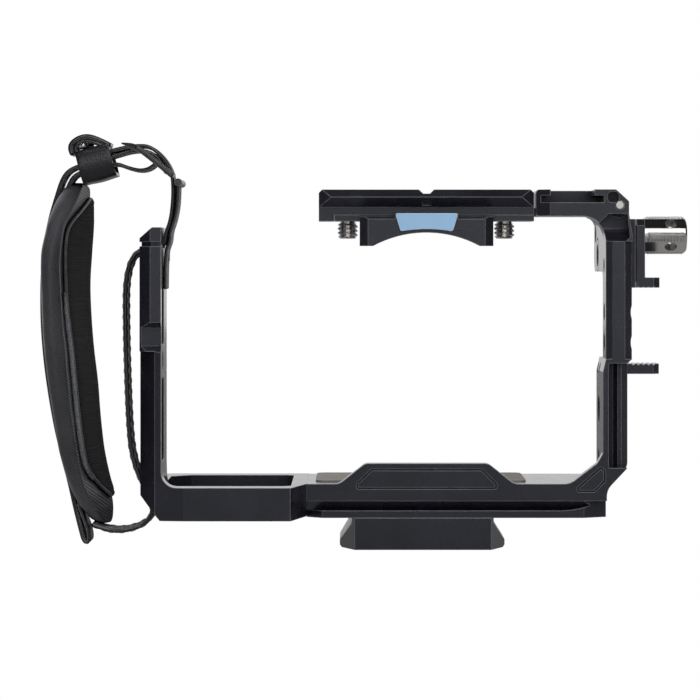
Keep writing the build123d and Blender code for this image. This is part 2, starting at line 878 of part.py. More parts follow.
# ---------------------------------------------------------------- accessory rail
with BuildPart() as top_rail:
    with BuildSketch(side_plane(rail_left_x)):
        with BuildLine():
            Polyline(
                (rail_y - neck_half, rail_bottom_z),
                (rail_y - neck_half, neck_top_z),
                (rail_y - ridge_half, ridge_z),
                (rail_y - crown_half, top_z),
                (rail_y + crown_half, top_z),
                (rail_y + ridge_half, ridge_z),
                (rail_y + neck_half, neck_top_z),
                (rail_y + neck_half, rail_bottom_z),
                close=True,
            )
        make_face()
    extrude(amount=rail_right_x - rail_left_x)
    # the ridges are chamfered in plan at both ends
    with BuildSketch(Plane.XY.offset(rail_bottom_z)):
        with BuildLine():
            Polyline(
                (rail_left_x, rail_y - neck_half),
                (rail_left_x + ridge_chamfer, rail_y - ridge_half),
                (rail_right_x - ridge_chamfer, rail_y - ridge_half),
                (rail_right_x, rail_y - neck_half),
                (rail_right_x, rail_y + neck_half),
                (rail_right_x - ridge_chamfer, rail_y + ridge_half),
                (rail_left_x + ridge_chamfer, rail_y + ridge_half),
                (rail_left_x, rail_y + neck_half),
                close=True,
            )
        make_face()
    extrude(amount=top_z - rail_bottom_z, mode=Mode.INTERSECT)
    # bevelled top corners at both ends
    chamfer(top_rail.faces().sort_by(Axis.Z)[-1].edges().filter_by(Axis.Y), length=end_chamfer)
    # end lip that closes the tongue's end
    with BuildSketch(side_plane(rail_left_x)):
        with BuildLine():
            Polyline(
                (rail_y - neck_half, rail_bottom_z),
                (rail_y - neck_half, ceiling_z),
                (rail_y + neck_half, ceiling_z),
                (rail_y + neck_half, rail_bottom_z),
                close=True,
            )
        make_face()
    extrude(amount=tongue_left_x - seat_fit - rail_left_x)
    # channel for the tongue's core
    with BuildSketch(side_plane(tongue_left_x - seat_fit)):
        with Locations((rail_y, (rail_bottom_z + core_top_z + seat_fit) / 2)):
            Rectangle(2 * core_half + 2 * seat_fit, core_height + seat_fit)
    extrude(amount=rail_right_x - tongue_left_x + seat_fit, mode=Mode.SUBTRACT)
    # V notch over the lens axis
    with BuildSketch(front_plane(rail_y - ridge_half)):
        with BuildLine():
            Polyline(
                (lens_x - notch_half_top, top_z),
                (lens_x - notch_half_bottom, top_z - notch_depth),
                (lens_x + notch_half_bottom, top_z - notch_depth),
                (lens_x + notch_half_top, top_z),
                close=True,
            )
        make_face()
    extrude(amount=-2 * ridge_half, mode=Mode.SUBTRACT)
    # recess and bore of the index screw, in the front slant
    with BuildSketch(front_plane(rail_y - ridge_half)):
        with Locations((lens_x, index_z)):
            Circle(index_recess_radius)
        with Locations((lens_x, index_z - index_recess_radius / 2)):
            Rectangle(2 * index_recess_radius, index_recess_radius, mode=Mode.SUBTRACT)
    extrude(amount=-(ridge_height + index_recess_depth), mode=Mode.SUBTRACT)
    with BuildSketch(front_plane(rail_y - neck_half + index_recess_depth)):
        with Locations((lens_x, index_z)):
            Circle(index_screw_radius + running_fit)
    extrude(amount=-index_screw_length, mode=Mode.SUBTRACT)
    # wells over the camera screws, and counterbores of the rail screws
    with BuildSketch(Plane.XY.offset(rail_bottom_z)):
        with Locations((lens_x - camera_screw_offset, rail_y), (lens_x + camera_screw_offset, rail_y)):
            Circle(camera_head_bore)
    extrude(amount=top_z - rail_bottom_z, mode=Mode.SUBTRACT)
    with Locations(
        (lens_x - rail_screw_offset, rail_y, top_z),
        (lens_x + rail_screw_offset, rail_y, top_z),
    ):
        CounterBoreHole(
            rail_screw_radius + running_fit,
            rail_head_bore,
            rail_head_height,
            depth=top_z - rail_bottom_z,
        )

top_rail.part.label = "top_rail"
export_step(top_rail.part, "parts/top_rail.step")

with BuildPart() as rail_screws:
    with BuildSketch(Plane.XY.offset(top_z - rail_head_height)):
        with Locations((lens_x - rail_screw_offset, rail_y), (lens_x + rail_screw_offset, rail_y)):
            Circle(rail_head_radius)
    extrude(amount=rail_head_height - seat_fit)
    with BuildSketch(Plane.XY.offset(top_z - rail_head_height)):
        with Locations((lens_x - rail_screw_offset, rail_y), (lens_x + rail_screw_offset, rail_y)):
            Circle(rail_screw_radius)
    extrude(amount=-rail_screw_length)
    with BuildSketch(Plane.XY.offset(top_z - seat_fit)):
        with Locations((lens_x - rail_screw_offset, rail_y), (lens_x + rail_screw_offset, rail_y)):
            RegularPolygon(rail_screw_radius, 6)
    extrude(amount=-slot_depth, mode=Mode.SUBTRACT)

rail_screws.part.label = "rail_screws"
export_step(rail_screws.part, "parts/rail_screws.step")

with BuildPart() as rail_index_screw:
    with BuildSketch(front_plane(rail_y - neck_half + index_recess_depth)):
        with Locations((lens_x, index_z)):
            Circle(index_screw_radius)
    extrude(amount=-index_screw_length)

rail_index_screw.part.label = "rail_index_screw"
export_step(rail_index_screw.part, "parts/rail_index_screw.step")

# ---------------------------------------------------------------- badge
with BuildPart() as front_badge:
    with BuildSketch(front_plane(skirt_front_y)):
        with BuildLine():
            Polyline(
                (lens_x - badge_half_bottom, badge_bottom_z),
                (lens_x - badge_half_top, badge_top_z),
                (lens_x + badge_half_top, badge_top_z),
                (lens_x + badge_half_bottom, badge_bottom_z),
            )
            ThreePointArc(
                (lens_x - badge_half_bottom, badge_bottom_z),
                (lens_x, badge_bottom_z + badge_rise),
                (lens_x + badge_half_bottom, badge_bottom_z),
            )
        make_face()
        fillet(vertices(), radius=badge_corner)
    extrude(amount=badge_thickness)

front_badge.part.label = "front_badge"
export_step(front_badge.part, "parts/front_badge.step")

# ---------------------------------------------------------------- camera screws
for screw_name, screw_side in (("camera_screw_left", -1), ("camera_screw_right", 1)):
    screw_x = lens_x + screw_side * camera_screw_offset
    with BuildPart() as camera_screw:
        with BuildSketch(Plane.XY.offset(ceiling_z - camera_screw_reach)):
            with Locations((screw_x, rail_y)):
                Circle(camera_screw_radius)
        extrude(amount=camera_thread_length)
        chamfer(camera_screw.faces().sort_by(Axis.Z)[0].edges(), length=camera_screw_radius / 5)
        with BuildSketch(Plane.XY.offset(ceiling_z - camera_screw_reach + camera_thread_length)):
            with Locations((screw_x, rail_y)):
                Circle(camera_neck_radius)
        extrude(amount=core_top_z + running_fit - ceiling_z + camera_screw_reach - camera_thread_length)
        with BuildSketch(Plane.XY.offset(core_top_z + running_fit)):
            with Locations((screw_x, rail_y)):
                Circle(camera_head_radius)
        extrude(amount=camera_head_height)
        with BuildSketch(Plane.XY.offset(core_top_z + running_fit + camera_head_height)):
            with Locations((screw_x, rail_y)):
                RegularPolygon(driver_radius, 6)
        extrude(amount=-driver_depth, mode=Mode.SUBTRACT)
    camera_screw.part.label = screw_name
    export_step(camera_screw.part, "parts/" + screw_name + ".step")

with BuildPart() as base_camera_screw:
    with BuildSketch(Plane.XY.offset(base_bottom + running_fit)):
        with Locations((lens_x, 0)):
            Circle(base_head_radius)
            Rectangle(2 * base_head_radius, slot_width, mode=Mode.SUBTRACT)
    extrude(amount=slot_depth)
    with BuildSketch(Plane.XY.offset(base_bottom + running_fit + slot_depth)):
        with Locations((lens_x, 0)):
            Circle(base_head_radius)
    extrude(amount=base_head_height - slot_depth - running_fit)
    with BuildSketch(Plane.XY.offset(base_bottom + base_head_height)):
        with Locations((lens_x, 0)):
            Circle(camera_neck_radius)
    extrude(amount=base_height - base_head_height + base_screw_reach - base_thread_length)
    with BuildSketch(Plane.XY.offset(base_top + base_screw_reach - base_thread_length)):
        with Locations((lens_x, 0)):
            Circle(camera_screw_radius)
    extrude(amount=base_thread_length)
    chamfer(base_camera_screw.faces().sort_by(Axis.Z)[-1].edges(), length=camera_screw_radius / 5)

base_camera_screw.part.label = "base_camera_screw"
export_step(base_camera_screw.part, "parts/base_camera_screw.step")

# ---------------------------------------------------------------- seat pad
with BuildPart() as seat_pad:
    with BuildSketch(Plane.XY.offset(base_top - pad_recess)):
        with Locations(((pad_left_x + pad_right_x) / 2, (pad_front_y + pad_back_y) / 2)):
            RectangleRounded(pad_right_x - pad_left_x, pad_back_y - pad_front_y, pad_corner)
        with Locations((lens_x, 0)):
            Circle(base_head_radius, mode=Mode.SUBTRACT)
    extrude(amount=pad_recess + pad_proud)

seat_pad.part.label = "seat_pad"
export_step(seat_pad.part, "parts/seat_pad.step")

# ---------------------------------------------------------------- quick-release plate
with BuildPart() as qr_plate:
    with BuildSketch(front_plane(front_y)):
        with BuildLine():
            Polyline(
                (0, 0),
                (plate_half - edge_bevel, 0),
                (plate_half, plate_edge_bottom),
                (plate_half, plate_edge_top),
                (plate_top_half, plate_neck_z),
                (plate_top_half, plate_height),
                (0, plate_height),
                close=True,
            )
        make_face()
        mirror(about=Plane.YZ)
    extrude(amount=-cage_depth)
    with BuildSketch(Plane.XY):
        with BuildLine():
            Polyline(
                (0, front_y),
                (plate_nose_half, front_y),
                (plate_half, front_y + plate_nose_length),
                (plate_half, back_y - plate_nose_length),
                (plate_nose_half, back_y),
                (0, back_y),
                close=True,
            )
        make_face()
        mirror(about=Plane.YZ)
    extrude(amount=plate_height, mode=Mode.INTERSECT)
    with BuildSketch(Plane.XY):
        Circle(tripod_socket_radius)
        with Locations((0, -small_socket_y), (0, small_socket_y)):
            Circle(small_socket_radius)
        with GridLocations(2 * plate_screw_x, 2 * plate_screw_y, 2, 2):
            Circle(plate_screw_radius + running_fit)
    extrude(amount=plate_height, mode=Mode.SUBTRACT)
    with BuildSketch(Plane.XY):
        with GridLocations(2 * plate_screw_x, 2 * plate_screw_y, 2, 2):
            Circle(plate_head_bore)
    extrude(amount=plate_head_height + 2 * seat_fit, mode=Mode.SUBTRACT)

qr_plate.part.label = "qr_plate"
export_step(qr_plate.part, "parts/qr_plate.step")

with BuildPart() as plate_screws:
    with BuildSketch(Plane.XY.offset(2 * seat_fit)):
        with GridLocations(2 * plate_screw_x, 2 * plate_screw_y, 2, 2):
            Circle(plate_head_radius)
            RegularPolygon(plate_screw_radius, 6, mode=Mode.SUBTRACT)
    extrude(amount=slot_depth)
    with BuildSketch(Plane.XY.offset(2 * seat_fit + slot_depth)):
        with GridLocations(2 * plate_screw_x, 2 * plate_screw_y, 2, 2):
            Circle(plate_head_radius)
    extrude(amount=plate_head_height - slot_depth)
    with BuildSketch(Plane.XY.offset(2 * seat_fit + plate_head_height)):
        with GridLocations(2 * plate_screw_x, 2 * plate_screw_y, 2, 2):
            Circle(plate_screw_radius)
    extrude(amount=plate_height + plate_screw_bite - plate_head_height - 3 * seat_fit)

plate_screws.part.label = "plate_screws"
export_step(plate_screws.part, "parts/plate_screws.step")

# ---------------------------------------------------------------- grip arm
grip_lower_y = grip_front_y + lower_set_back
window_left_x = grip_face_x
window_right_x = base_left_x - side_bar
window_front_y = grip_front_y + front_bar
window_back_y = back_y - back_bar
channel_front_y = strap_y - strap_width / 2 - soft_gap
channel_back_y = strap_y + strap_width / 2 + soft_gap
# the strap's way round the lower corner: in at the outer side, out at the chamfer below
corner_route = (
    (grip_out_x - 2.2, loop_top_z + 7.2),
    (grip_out_x + 2.0, loop_top_z - 2.5),
    (grip_out_x + 3.8, loop_bottom_z + 2.8),
    (grip_out_x + 2.2, loop_bottom_z - 0.8),
)
corner_bends = [6.0, 1.5, 2.0]

with BuildPart() as grip_arm:
    # loop that joins the arm to the base
    with BuildSketch(Plane.XY.offset(loop_bottom_z)):
        with BuildLine():
            Polyline(
                (grip_out_x, grip_front_y),
                (window_right_x, grip_front_y),
                (base_left_x, front_y),
                (base_left_x, back_y),
                (grip_out_x + loop_back_corner, back_y),
                (grip_out_x, back_y - loop_back_corner),
                close=True,
            )
        make_face()
        with BuildLine():
            FilletPolyline(
                (window_left_x, window_front_y),
                (window_right_x - window_corner, window_front_y),
                (window_right_x, window_front_y + window_corner),
                (window_right_x, window_back_y - window_corner),
                (window_right_x - window_corner, window_back_y),
                (window_left_x + loop_back_corner, window_back_y),
                (window_left_x, window_back_y - loop_back_corner),
                radius=window_corner / 2,
                close=True,
            )
        make_face(mode=Mode.SUBTRACT)
    extrude(amount=loop_height)

    # upright arm with a bevelled front corner
    with BuildSketch(Plane.XY.offset(loop_bottom_z)):
        with BuildLine():
            Polyline(
                (grip_face_x, grip_back_y),
                (grip_face_x, grip_front_y),
                (grip_out_x + upper_facet_x, grip_front_y),
                (grip_out_x, grip_front_y + upper_facet_y),
                (grip_out_x, grip_back_y),
                close=True,
            )
        make_face()
    extrude(amount=grip_top_z - loop_bottom_z)

    # fillets from the arm to the front bar and to the side of the loop
    with BuildSketch(front_plane(grip_front_y)):
        with BuildLine():
            Polyline(
                (grip_face_x, loop_top_z + inner_fillet),
                (grip_face_x - seat_fit, loop_top_z - seat_fit),
                (grip_face_x + inner_fillet, loop_top_z),
            )
            RadiusArc(
                (grip_face_x, loop_top_z + inner_fillet),
                (grip_face_x + inner_fillet, loop_top_z),
                -inner_fillet,
            )
        make_face()
    extrude(amount=-front_bar)
    with BuildSketch(side_plane(grip_out_x)):
        with BuildLine():
            Polyline(
                (grip_back_y, loop_top_z + back_fillet),
                (grip_back_y - seat_fit, loop_top_z - seat_fit),
                (grip_back_y + back_fillet, loop_top_z),
            )
            RadiusArc(
                (grip_back_y, loop_top_z + back_fillet),
                (grip_back_y + back_fillet, loop_top_z),
                -back_fillet,
            )
        make_face()
    extrude(amount=grip_wall)

    # lower front: set back, with a wider bevel, and the bar's angled end
    with BuildSketch(Plane.XY.offset(loop_bottom_z)):
        with BuildLine():
            Polyline(
                (grip_out_x, grip_front_y),
                (grip_face_x + bar_bevel_x, grip_front_y),
                (grip_out_x + lower_facet_x, grip_lower_y),
                (grip_out_x, grip_lower_y + lower_facet_y),
                close=True,
            )
        make_face()
    extrude(amount=lower_section_z - loop_bottom_z, mode=Mode.SUBTRACT)

    # waist between the lower and the upper front
    with BuildSketch(side_plane(grip_out_x)):
        with BuildLine():
            Polyline(
                (grip_front_y, lower_section_z - waist_slope),
                (grip_front_y + waist_depth, lower_section_z + waist_slope),
                (grip_front_y + waist_depth, waist_top_z - waist_slope),
                (grip_front_y, waist_top_z),
                close=True,
            )
        make_face()
    extrude(amount=grip_wall, mode=Mode.SUBTRACT)

    # chamfered cap, and the band cut round the arm below it
    with BuildSketch(front_plane(grip_front_y)):
        with BuildLine():
            Polyline(
                (grip_out_x, grip_top_z - cap_chamfer_z),
                (grip_out_x + cap_chamfer_x, grip_top_z),
                (grip_out_x, grip_top_z),
                close=True,
            )
        make_face()
        with BuildLine():
            Polyline(
                (grip_out_x, loop_bottom_z),
                (grip_out_x, loop_bottom_z + heel_chamfer_z),
                (grip_out_x + heel_chamfer_x, loop_bottom_z),
                close=True,
            )
        make_face()
    extrude(amount=-cage_depth - grip_wall - (front_y - grip_front_y), mode=Mode.SUBTRACT)
    with BuildSketch(Plane.XY.offset(band_bottom_z)):
        with BuildLine():
            Polyline(
                (grip_face_x, grip_front_y),
                (grip_out_x + upper_facet_x, grip_front_y),
                (grip_out_x, grip_front_y + upper_facet_y),
                (grip_out_x, grip_back_y),
                (grip_out_x + band_depth, grip_back_y),
                (grip_out_x + band_depth, grip_front_y + upper_facet_y + band_depth / 2),
                (grip_out_x + upper_facet_x + band_depth / 2, grip_front_y + band_depth),
                (grip_face_x, grip_front_y + band_depth),
                close=True,
            )
        make_face()
    extrude(amount=band_height, mode=Mode.SUBTRACT)

    # strap slot through the top of the arm
    with BuildSketch(side_plane(grip_out_x)):
        with Locations((strap_y, strap_slot_z)):
            Rectangle(channel_back_y - channel_front_y, strap_slot_height)
    extrude(amount=grip_wall, mode=Mode.SUBTRACT)

    # curved strap channel round the lower corner, from the outer side to the chamfer below
    with BuildSketch(front_plane(channel_front_y)):
        with BuildLine():
            FilletPolyline(*corner_route, radius=corner_bends[:2])
        trace(line_width=strap_thickness + 4 * soft_gap)
    extrude(amount=-(channel_back_y - channel_front_y), mode=Mode.SUBTRACT)

    # blind pockets in the inner face
    with BuildSketch(side_plane(grip_face_x)):
        with Locations((inner_pocket_y, upper_pocket_z)):
            RectangleRounded(inner_pocket_width, upper_pocket_height, inner_pocket_radius)
        with Locations((inner_pocket_y, middle_pocket_z)):
            Circle(middle_pocket_radius)
        with Locations((inner_pocket_y, lower_pocket_z)):
            RectangleRounded(inner_pocket_width, lower_pocket_height, inner_pocket_radius)
    extrude(amount=-inner_pocket_depth, mode=Mode.SUBTRACT)

    # screw holes to the base, with their counterbores in the loop
    with BuildSketch(side_plane(window_right_x)):
        with Locations((-grip_screw_y, grip_screw_z), (grip_screw_y, grip_screw_z)):
            Circle(grip_screw_radius + running_fit)
    extrude(amount=side_bar, mode=Mode.SUBTRACT)
    with BuildSketch(side_plane(window_right_x)):
        with Locations((-grip_screw_y, grip_screw_z), (grip_screw_y, grip_screw_z)):
            Circle(grip_head_bore)
    extrude(amount=grip_head_height, mode=Mode.SUBTRACT)

grip_arm.part.label = "grip_arm"
export_step(grip_arm.part, "parts/grip_arm.step")

with BuildPart() as grip_screws:
    with BuildSketch(side_plane(window_right_x + seat_fit)):
        with Locations((-grip_screw_y, grip_screw_z), (grip_screw_y, grip_screw_z)):
            Circle(grip_head_radius)
            RegularPolygon(grip_screw_radius, 6, mode=Mode.SUBTRACT)
    extrude(amount=slot_depth)
    with BuildSketch(side_plane(window_right_x + seat_fit + slot_depth)):
        with Locations((-grip_screw_y, grip_screw_z), (grip_screw_y, grip_screw_z)):
            Circle(grip_head_radius)
    extrude(amount=grip_head_height - slot_depth - seat_fit)
    with BuildSketch(side_plane(window_right_x + grip_head_height)):
        with Locations((-grip_screw_y, grip_screw_z), (grip_screw_y, grip_screw_z)):
            Circle(grip_screw_radius)
    extrude(amount=side_bar - grip_head_height + grip_screw_bite - seat_fit)

grip_screws.part.label = "grip_screws"
export_step(grip_screws.part, "parts/grip_screws.step")

# ---------------------------------------------------------------- strap pin
with BuildPart() as strap_pin:
    with BuildSketch(front_plane(front_y + seat_fit)):
        with Locations((lug_x, lug_z)):
            Circle(pin_radius)
    extrude(amount=-(lug_front_wall + strap_slot_width + pin_back_grip - 2 * seat_fit))

strap_pin.part.label = "strap_pin"
export_step(strap_pin.part, "parts/strap_pin.step")

# ---------------------------------------------------------------- cable clamp
jaw_in_x = clamp_rail_out_x + jaw_gap
jaw_out_x = jaw_in_x + jaw_thickness
foot_start_x = foot_reach - foot_chamfer - tooth_count * tooth_pitch

with BuildPart() as clamp_jaw:
    with BuildSketch(side_plane(jaw_in_x)):
        with Locations((clamp_y, (clamp_bottom_z + clamp_top_z) / 2)):
            Rectangle(clamp_width, clamp_top_z - clamp_bottom_z)
    extrude(amount=jaw_thickness)
    # foot with teeth on its underside, bevelled in plan at its tip
    with BuildSketch(Plane.XY.offset(clamp_bottom_z)):
        with BuildLine():
            Polyline(
                (jaw_in_x, clamp_front_y),
                (foot_reach - foot_chamfer, clamp_front_y),
                (foot_reach, clamp_front_y + foot_chamfer),
                (foot_reach, clamp_back_y - foot_chamfer),
                (foot_reach - foot_chamfer, clamp_back_y),
                (jaw_in_x, clamp_back_y),
                close=True,
            )
        make_face()
    extrude(amount=foot_height)
    with BuildSketch(front_plane(clamp_front_y)):
        with Locations(*[(foot_start_x + i * tooth_pitch, clamp_bottom_z) for i in range(tooth_count + 1)]):
            Polygon((-tooth_depth, 0), (0, tooth_depth), (tooth_depth, 0), align=None)
    extrude(amount=-clamp_width, mode=Mode.SUBTRACT)
    # bevel along the top of the front edge
    with BuildSketch(side_plane(jaw_in_x)):
        with BuildLine():
            Polyline(
                (clamp_front_y, clamp_top_z - jaw_bevel),
                (clamp_front_y + jaw_bevel, clamp_top_z),
                (clamp_front_y, clamp_top_z),
                close=True,
            )
        make_face()
    extrude(amount=jaw_thickness, mode=Mode.SUBTRACT)
    # raised runner that bears on the rail, and the tongue in its slot
    with BuildSketch(side_plane(clamp_rail_out_x + running_fit)):
        with Locations((clamp_y, (clamp_bottom_z + clamp_top_z) / 2)):
            Rectangle(2 * jaw_runner_half, clamp_top_z - clamp_bottom_z - 2 * jaw_bevel)
    extrude(amount=jaw_gap - running_fit)
    with BuildSketch(side_plane(clamp_rail_out_x - clamp_rail_thickness + seat_fit)):
        with Locations((clamp_y, stud_z)):
            Rectangle(2 * slot_half - 2 * running_fit, jaw_tongue_height)
    extrude(amount=clamp_rail_thickness)
    # bore for the stud
    with BuildSketch(side_plane(clamp_rail_out_x - clamp_rail_thickness)):
        with Locations((clamp_y, stud_z)):
            Circle(stud_radius + running_fit)
    extrude(amount=clamp_rail_thickness + jaw_gap + jaw_thickness, mode=Mode.SUBTRACT)

clamp_jaw.part.label = "clamp_jaw"
export_step(clamp_jaw.part, "parts/clamp_jaw.step")

nut_x = clamp_rail_out_x - clamp_rail_thickness - nut_pocket_depth + seat_fit
with BuildPart() as clamp_nut:
    with BuildSketch(side_plane(nut_x)):
        with Locations((clamp_y, stud_z)):
            Rectangle(2 * nut_half, 2 * nut_half)
            Circle(stud_radius + running_fit, mode=Mode.SUBTRACT)
    extrude(amount=nut_thickness)

clamp_nut.part.label = "clamp_nut"
export_step(clamp_nut.part, "parts/clamp_nut.step")

knob_x = jaw_out_x + running_fit
with BuildPart() as clamp_knob:
    with BuildSketch(side_plane(knob_x)):
        with Locations((clamp_y, stud_z)):
            Circle(knob_radius)
    extrude(amount=knob_length)
    chamfer(clamp_knob.faces().sort_by(Axis.X)[-1].edges(), length=knob_end_bulge)
    # four flats between knurled lands
    with BuildSketch(side_plane(knob_x)):
        with Locations((clamp_y, stud_z)):
            Circle(knob_radius)
            Rectangle(2 * knob_flat_distance, 2 * knob_flat_distance, rotation=45, mode=Mode.INTERSECT)
    extrude(amount=knob_length, mode=Mode.INTERSECT)
    # a cross hole through each flat for a pin key
    for turn in (45, 135, 225, 315):
        flat = Plane(
            origin=(knob_x + knob_length - knob_hole_offset, clamp_y, stud_z),
            x_dir=(1, 0, 0),
            z_dir=Vector(0, 0, 1).rotate(Axis.X, turn),
        )
        with BuildSketch(flat.offset(knob_flat_distance)):
            Circle(knob_hole_radius)
        extrude(amount=-knob_hole_depth, mode=Mode.SUBTRACT)
    # seat of the stud
    with BuildSketch(side_plane(knob_x)):
        with Locations((clamp_y, stud_z)):
            Circle(stud_radius / 2)
    extrude(amount=stud_radius, mode=Mode.SUBTRACT)

clamp_knob.part.label = "clamp_knob"
export_step(clamp_knob.part, "parts/clamp_knob.step")

with BuildPart() as clamp_stud:
    with BuildSketch(side_plane(nut_x)):
        with Locations((clamp_y, stud_z)):
            Circle(stud_radius)
    extrude(amount=knob_x - nut_x)
    with BuildSketch(side_plane(knob_x)):
        with Locations((clamp_y, stud_z)):
            Circle(stud_radius / 2)
    extrude(amount=stud_radius)

clamp_stud.part.label = "clamp_stud"
export_step(clamp_stud.part, "parts/clamp_stud.step")

with BuildPart() as clamp_bar:
    with BuildSketch(Plane.XY.offset(bar_top_z - bar_thickness)):
        with BuildLine():
            Polyline(
                (lower_out_x, clamp_front_y),
                (bar_reach - foot_chamfer, clamp_front_y),
                (bar_reach, clamp_front_y + foot_chamfer),
                (bar_reach, clamp_back_y - foot_chamfer),
                (bar_reach - foot_chamfer, clamp_back_y),
                (lower_out_x, clamp_back_y),
                close=True,
            )
        make_face()
        with Locations((lower_out_x - bar_tenon / 2, clamp_y)):
            Rectangle(bar_tenon, 2 * bar_tenon_half)
    extrude(amount=bar_thickness)
    with BuildSketch(front_plane(clamp_front_y)):
        with Locations(*[(foot_start_x + i * tooth_pitch, bar_top_z) for i in range(tooth_count + 1)]):
            Polygon((-tooth_depth, 0), (0, -tooth_depth), (tooth_depth, 0), align=None)
    extrude(amount=-clamp_width, mode=Mode.SUBTRACT)
    with BuildSketch(side_plane(lower_out_x - bar_tenon)):
        with Locations((clamp_y, bar_top_z - bar_thickness / 2)):
            with GridLocations(bar_screw_spacing, 1, 2, 1):
                Circle(bar_screw_radius + running_fit)
    extrude(amount=bar_screw_bite, mode=Mode.SUBTRACT)

clamp_bar.part.label = "clamp_bar"
export_step(clamp_bar.part, "parts/clamp_bar.step")

with BuildPart() as clamp_bar_screws:
    with BuildSketch(side_plane(upper_face_x)):
        with Locations((clamp_y, bar_top_z - bar_thickness / 2)):
            with GridLocations(bar_screw_spacing, 1, 2, 1):
                Circle(bar_screw_head)
    extrude(amount=bar_screw_head_height)
    with BuildSketch(side_plane(upper_face_x + bar_screw_head_height)):
        with Locations((clamp_y, bar_top_z - bar_thickness / 2)):
            with GridLocations(bar_screw_spacing, 1, 2, 1):
                Circle(bar_screw_radius)
    bar_screw_end_x = lower_out_x - bar_tenon + bar_screw_bite - seat_fit
    extrude(amount=bar_screw_end_x - upper_face_x - bar_screw_head_height)

clamp_bar_screws.part.label = "clamp_bar_screws"
export_step(clamp_bar_screws.part, "parts/clamp_bar_screws.step")

# ---------------------------------------------------------------- hand pad
pad_depth = cover_wall + 2 * soft_gap + lining_wall
# how far the pad's inner edges lie from its back
pad_reach = pad_bow_radius - sqrt((pad_bow_radius - pad_depth) ** 2 - pad_half_width**2)
pad_side = (
    (pad_bottom_half, pad_bottom_z),
    (pad_half_width, pad_bottom_z + pad_taper_height),
    (pad_half_width, pad_top_z - pad_shoulder_drop),
    (pad_top_half, pad_top_z),
)
pad_side_bends = [pad_end_radius, pad_taper_radius, pad_shoulder_radius, pad_end_radius]


def pad_layer(depth, thickness, inset):
    """Layer of the pad from this depth on: bowed section, bent along its height, cut to the outline."""
    with BuildSketch(Plane.XY.offset(pad_wide_z)) as section:
        with Locations((pad_back_x + pad_bow_radius, pad_y)):
            Circle(pad_bow_radius - depth)
            Circle(pad_bow_radius - depth - thickness, mode=Mode.SUBTRACT)
        with Locations((pad_back_x, pad_y)):
            Rectangle(2 * pad_reach, 2 * pad_half_width, mode=Mode.INTERSECT)
    with BuildSketch(side_plane(pad_back_x)) as outline:
        with BuildLine():
            FilletPolyline(
                *[(pad_y + half, z) for half, z in pad_side],
                *[(pad_y - half, z) for half, z in reversed(pad_side)],
                radius=[*pad_side_bends, *reversed(pad_side_bends)],
                close=True,
            )
        make_face()
        offset(amount=-inset, mode=Mode.REPLACE)
    with BuildPart() as layer:
        up = Axis((pad_back_x + pad_upper_radius, 0, pad_wide_z), (0, 1, 0))
        rise = degrees(asin((pad_top_z - pad_wide_z) / (pad_upper_radius - pad_reach)))
        revolve(section.sketch, axis=up, revolution_arc=rise)
        down = Axis((pad_back_x + pad_lower_radius, 0, pad_wide_z), (0, -1, 0))
        fall = degrees(asin((pad_wide_z - pad_bottom_z) / (pad_lower_radius - pad_reach)))
        revolve(section.sketch, axis=down, revolution_arc=fall)
        extrude(outline.sketch, amount=pad_lower_radius, both=True, mode=Mode.INTERSECT)
    return layer.part


with BuildPart() as hand_pad_cover:
    add(pad_layer(0, cover_wall, 0))

hand_pad_cover.part.label = "hand_pad_cover"
export_step(hand_pad_cover.part, "parts/hand_pad_cover.step")

with BuildPart() as hand_pad_lining:
    add(pad_layer(pad_depth - lining_wall, lining_wall, lining_inset))

hand_pad_lining.part.label = "hand_pad_lining"
export_step(hand_pad_lining.part, "parts/hand_pad_lining.step")

# ---------------------------------------------------------------- straps
keeper_axis = Vector(1, 0, 0).rotate(Axis.Y, -keeper_tilt)
keeper_up = Vector(0, 0, 1).rotate(Axis.Y, -keeper_tilt)


def keeper_point(along, up):
    """Point in the keeper's own directions, as (x, z)."""
    point = Vector(keeper_x, 0, keeper_z) + keeper_axis * along + keeper_up * up
    return (point.X, point.Z)


def pad_back(z):
    """Point (x, z) of the strap on the pad's back, at a height."""
    radius = pad_upper_radius if z > pad_wide_z else pad_lower_radius
    bow = radius - sqrt(radius**2 - (z - pad_wide_z) ** 2)
    return (pad_back_x + bow - soft_gap - strap_thickness, z)


mouth = keeper_length / 2 + soft_gap
# middle of a strap that lies on the arm's inner face
on_face_x = grip_face_x + strap_thickness / 2 + strap_rest

# from the keeper over the top, down to the inner side of the arm and into the slot
top_strap_route = (
    keeper_point(-3.0, 1.5 * layer_pitch),
    keeper_point(mouth, 1.5 * layer_pitch),
    (grip_face_x - 8.6, fold_bar_z + 11.2),
    (grip_face_x - 3.0, fold_bar_z + 11.0),
    (grip_face_x + 2.9, fold_bar_z + 4.4),
    (grip_face_x + 2.9, fold_bar_z - 3.0),
    (grip_face_x + 1.7, fold_bar_z - 11.4),
    (on_face_x, strap_slot_z + 3.2),
    (on_face_x, strap_slot_z),
    (grip_face_x - 0.6, strap_slot_z),
)
with BuildPart() as top_strap:
    add(strap_ribbon(top_strap_route, [4.0, 8.0, 5.0, 4.0, 6.0, 8.0, 3.0, 0.6], strap_y, strap_width))

top_strap.part.label = "top_strap"
export_step(top_strap.part, "parts/top_strap.step")

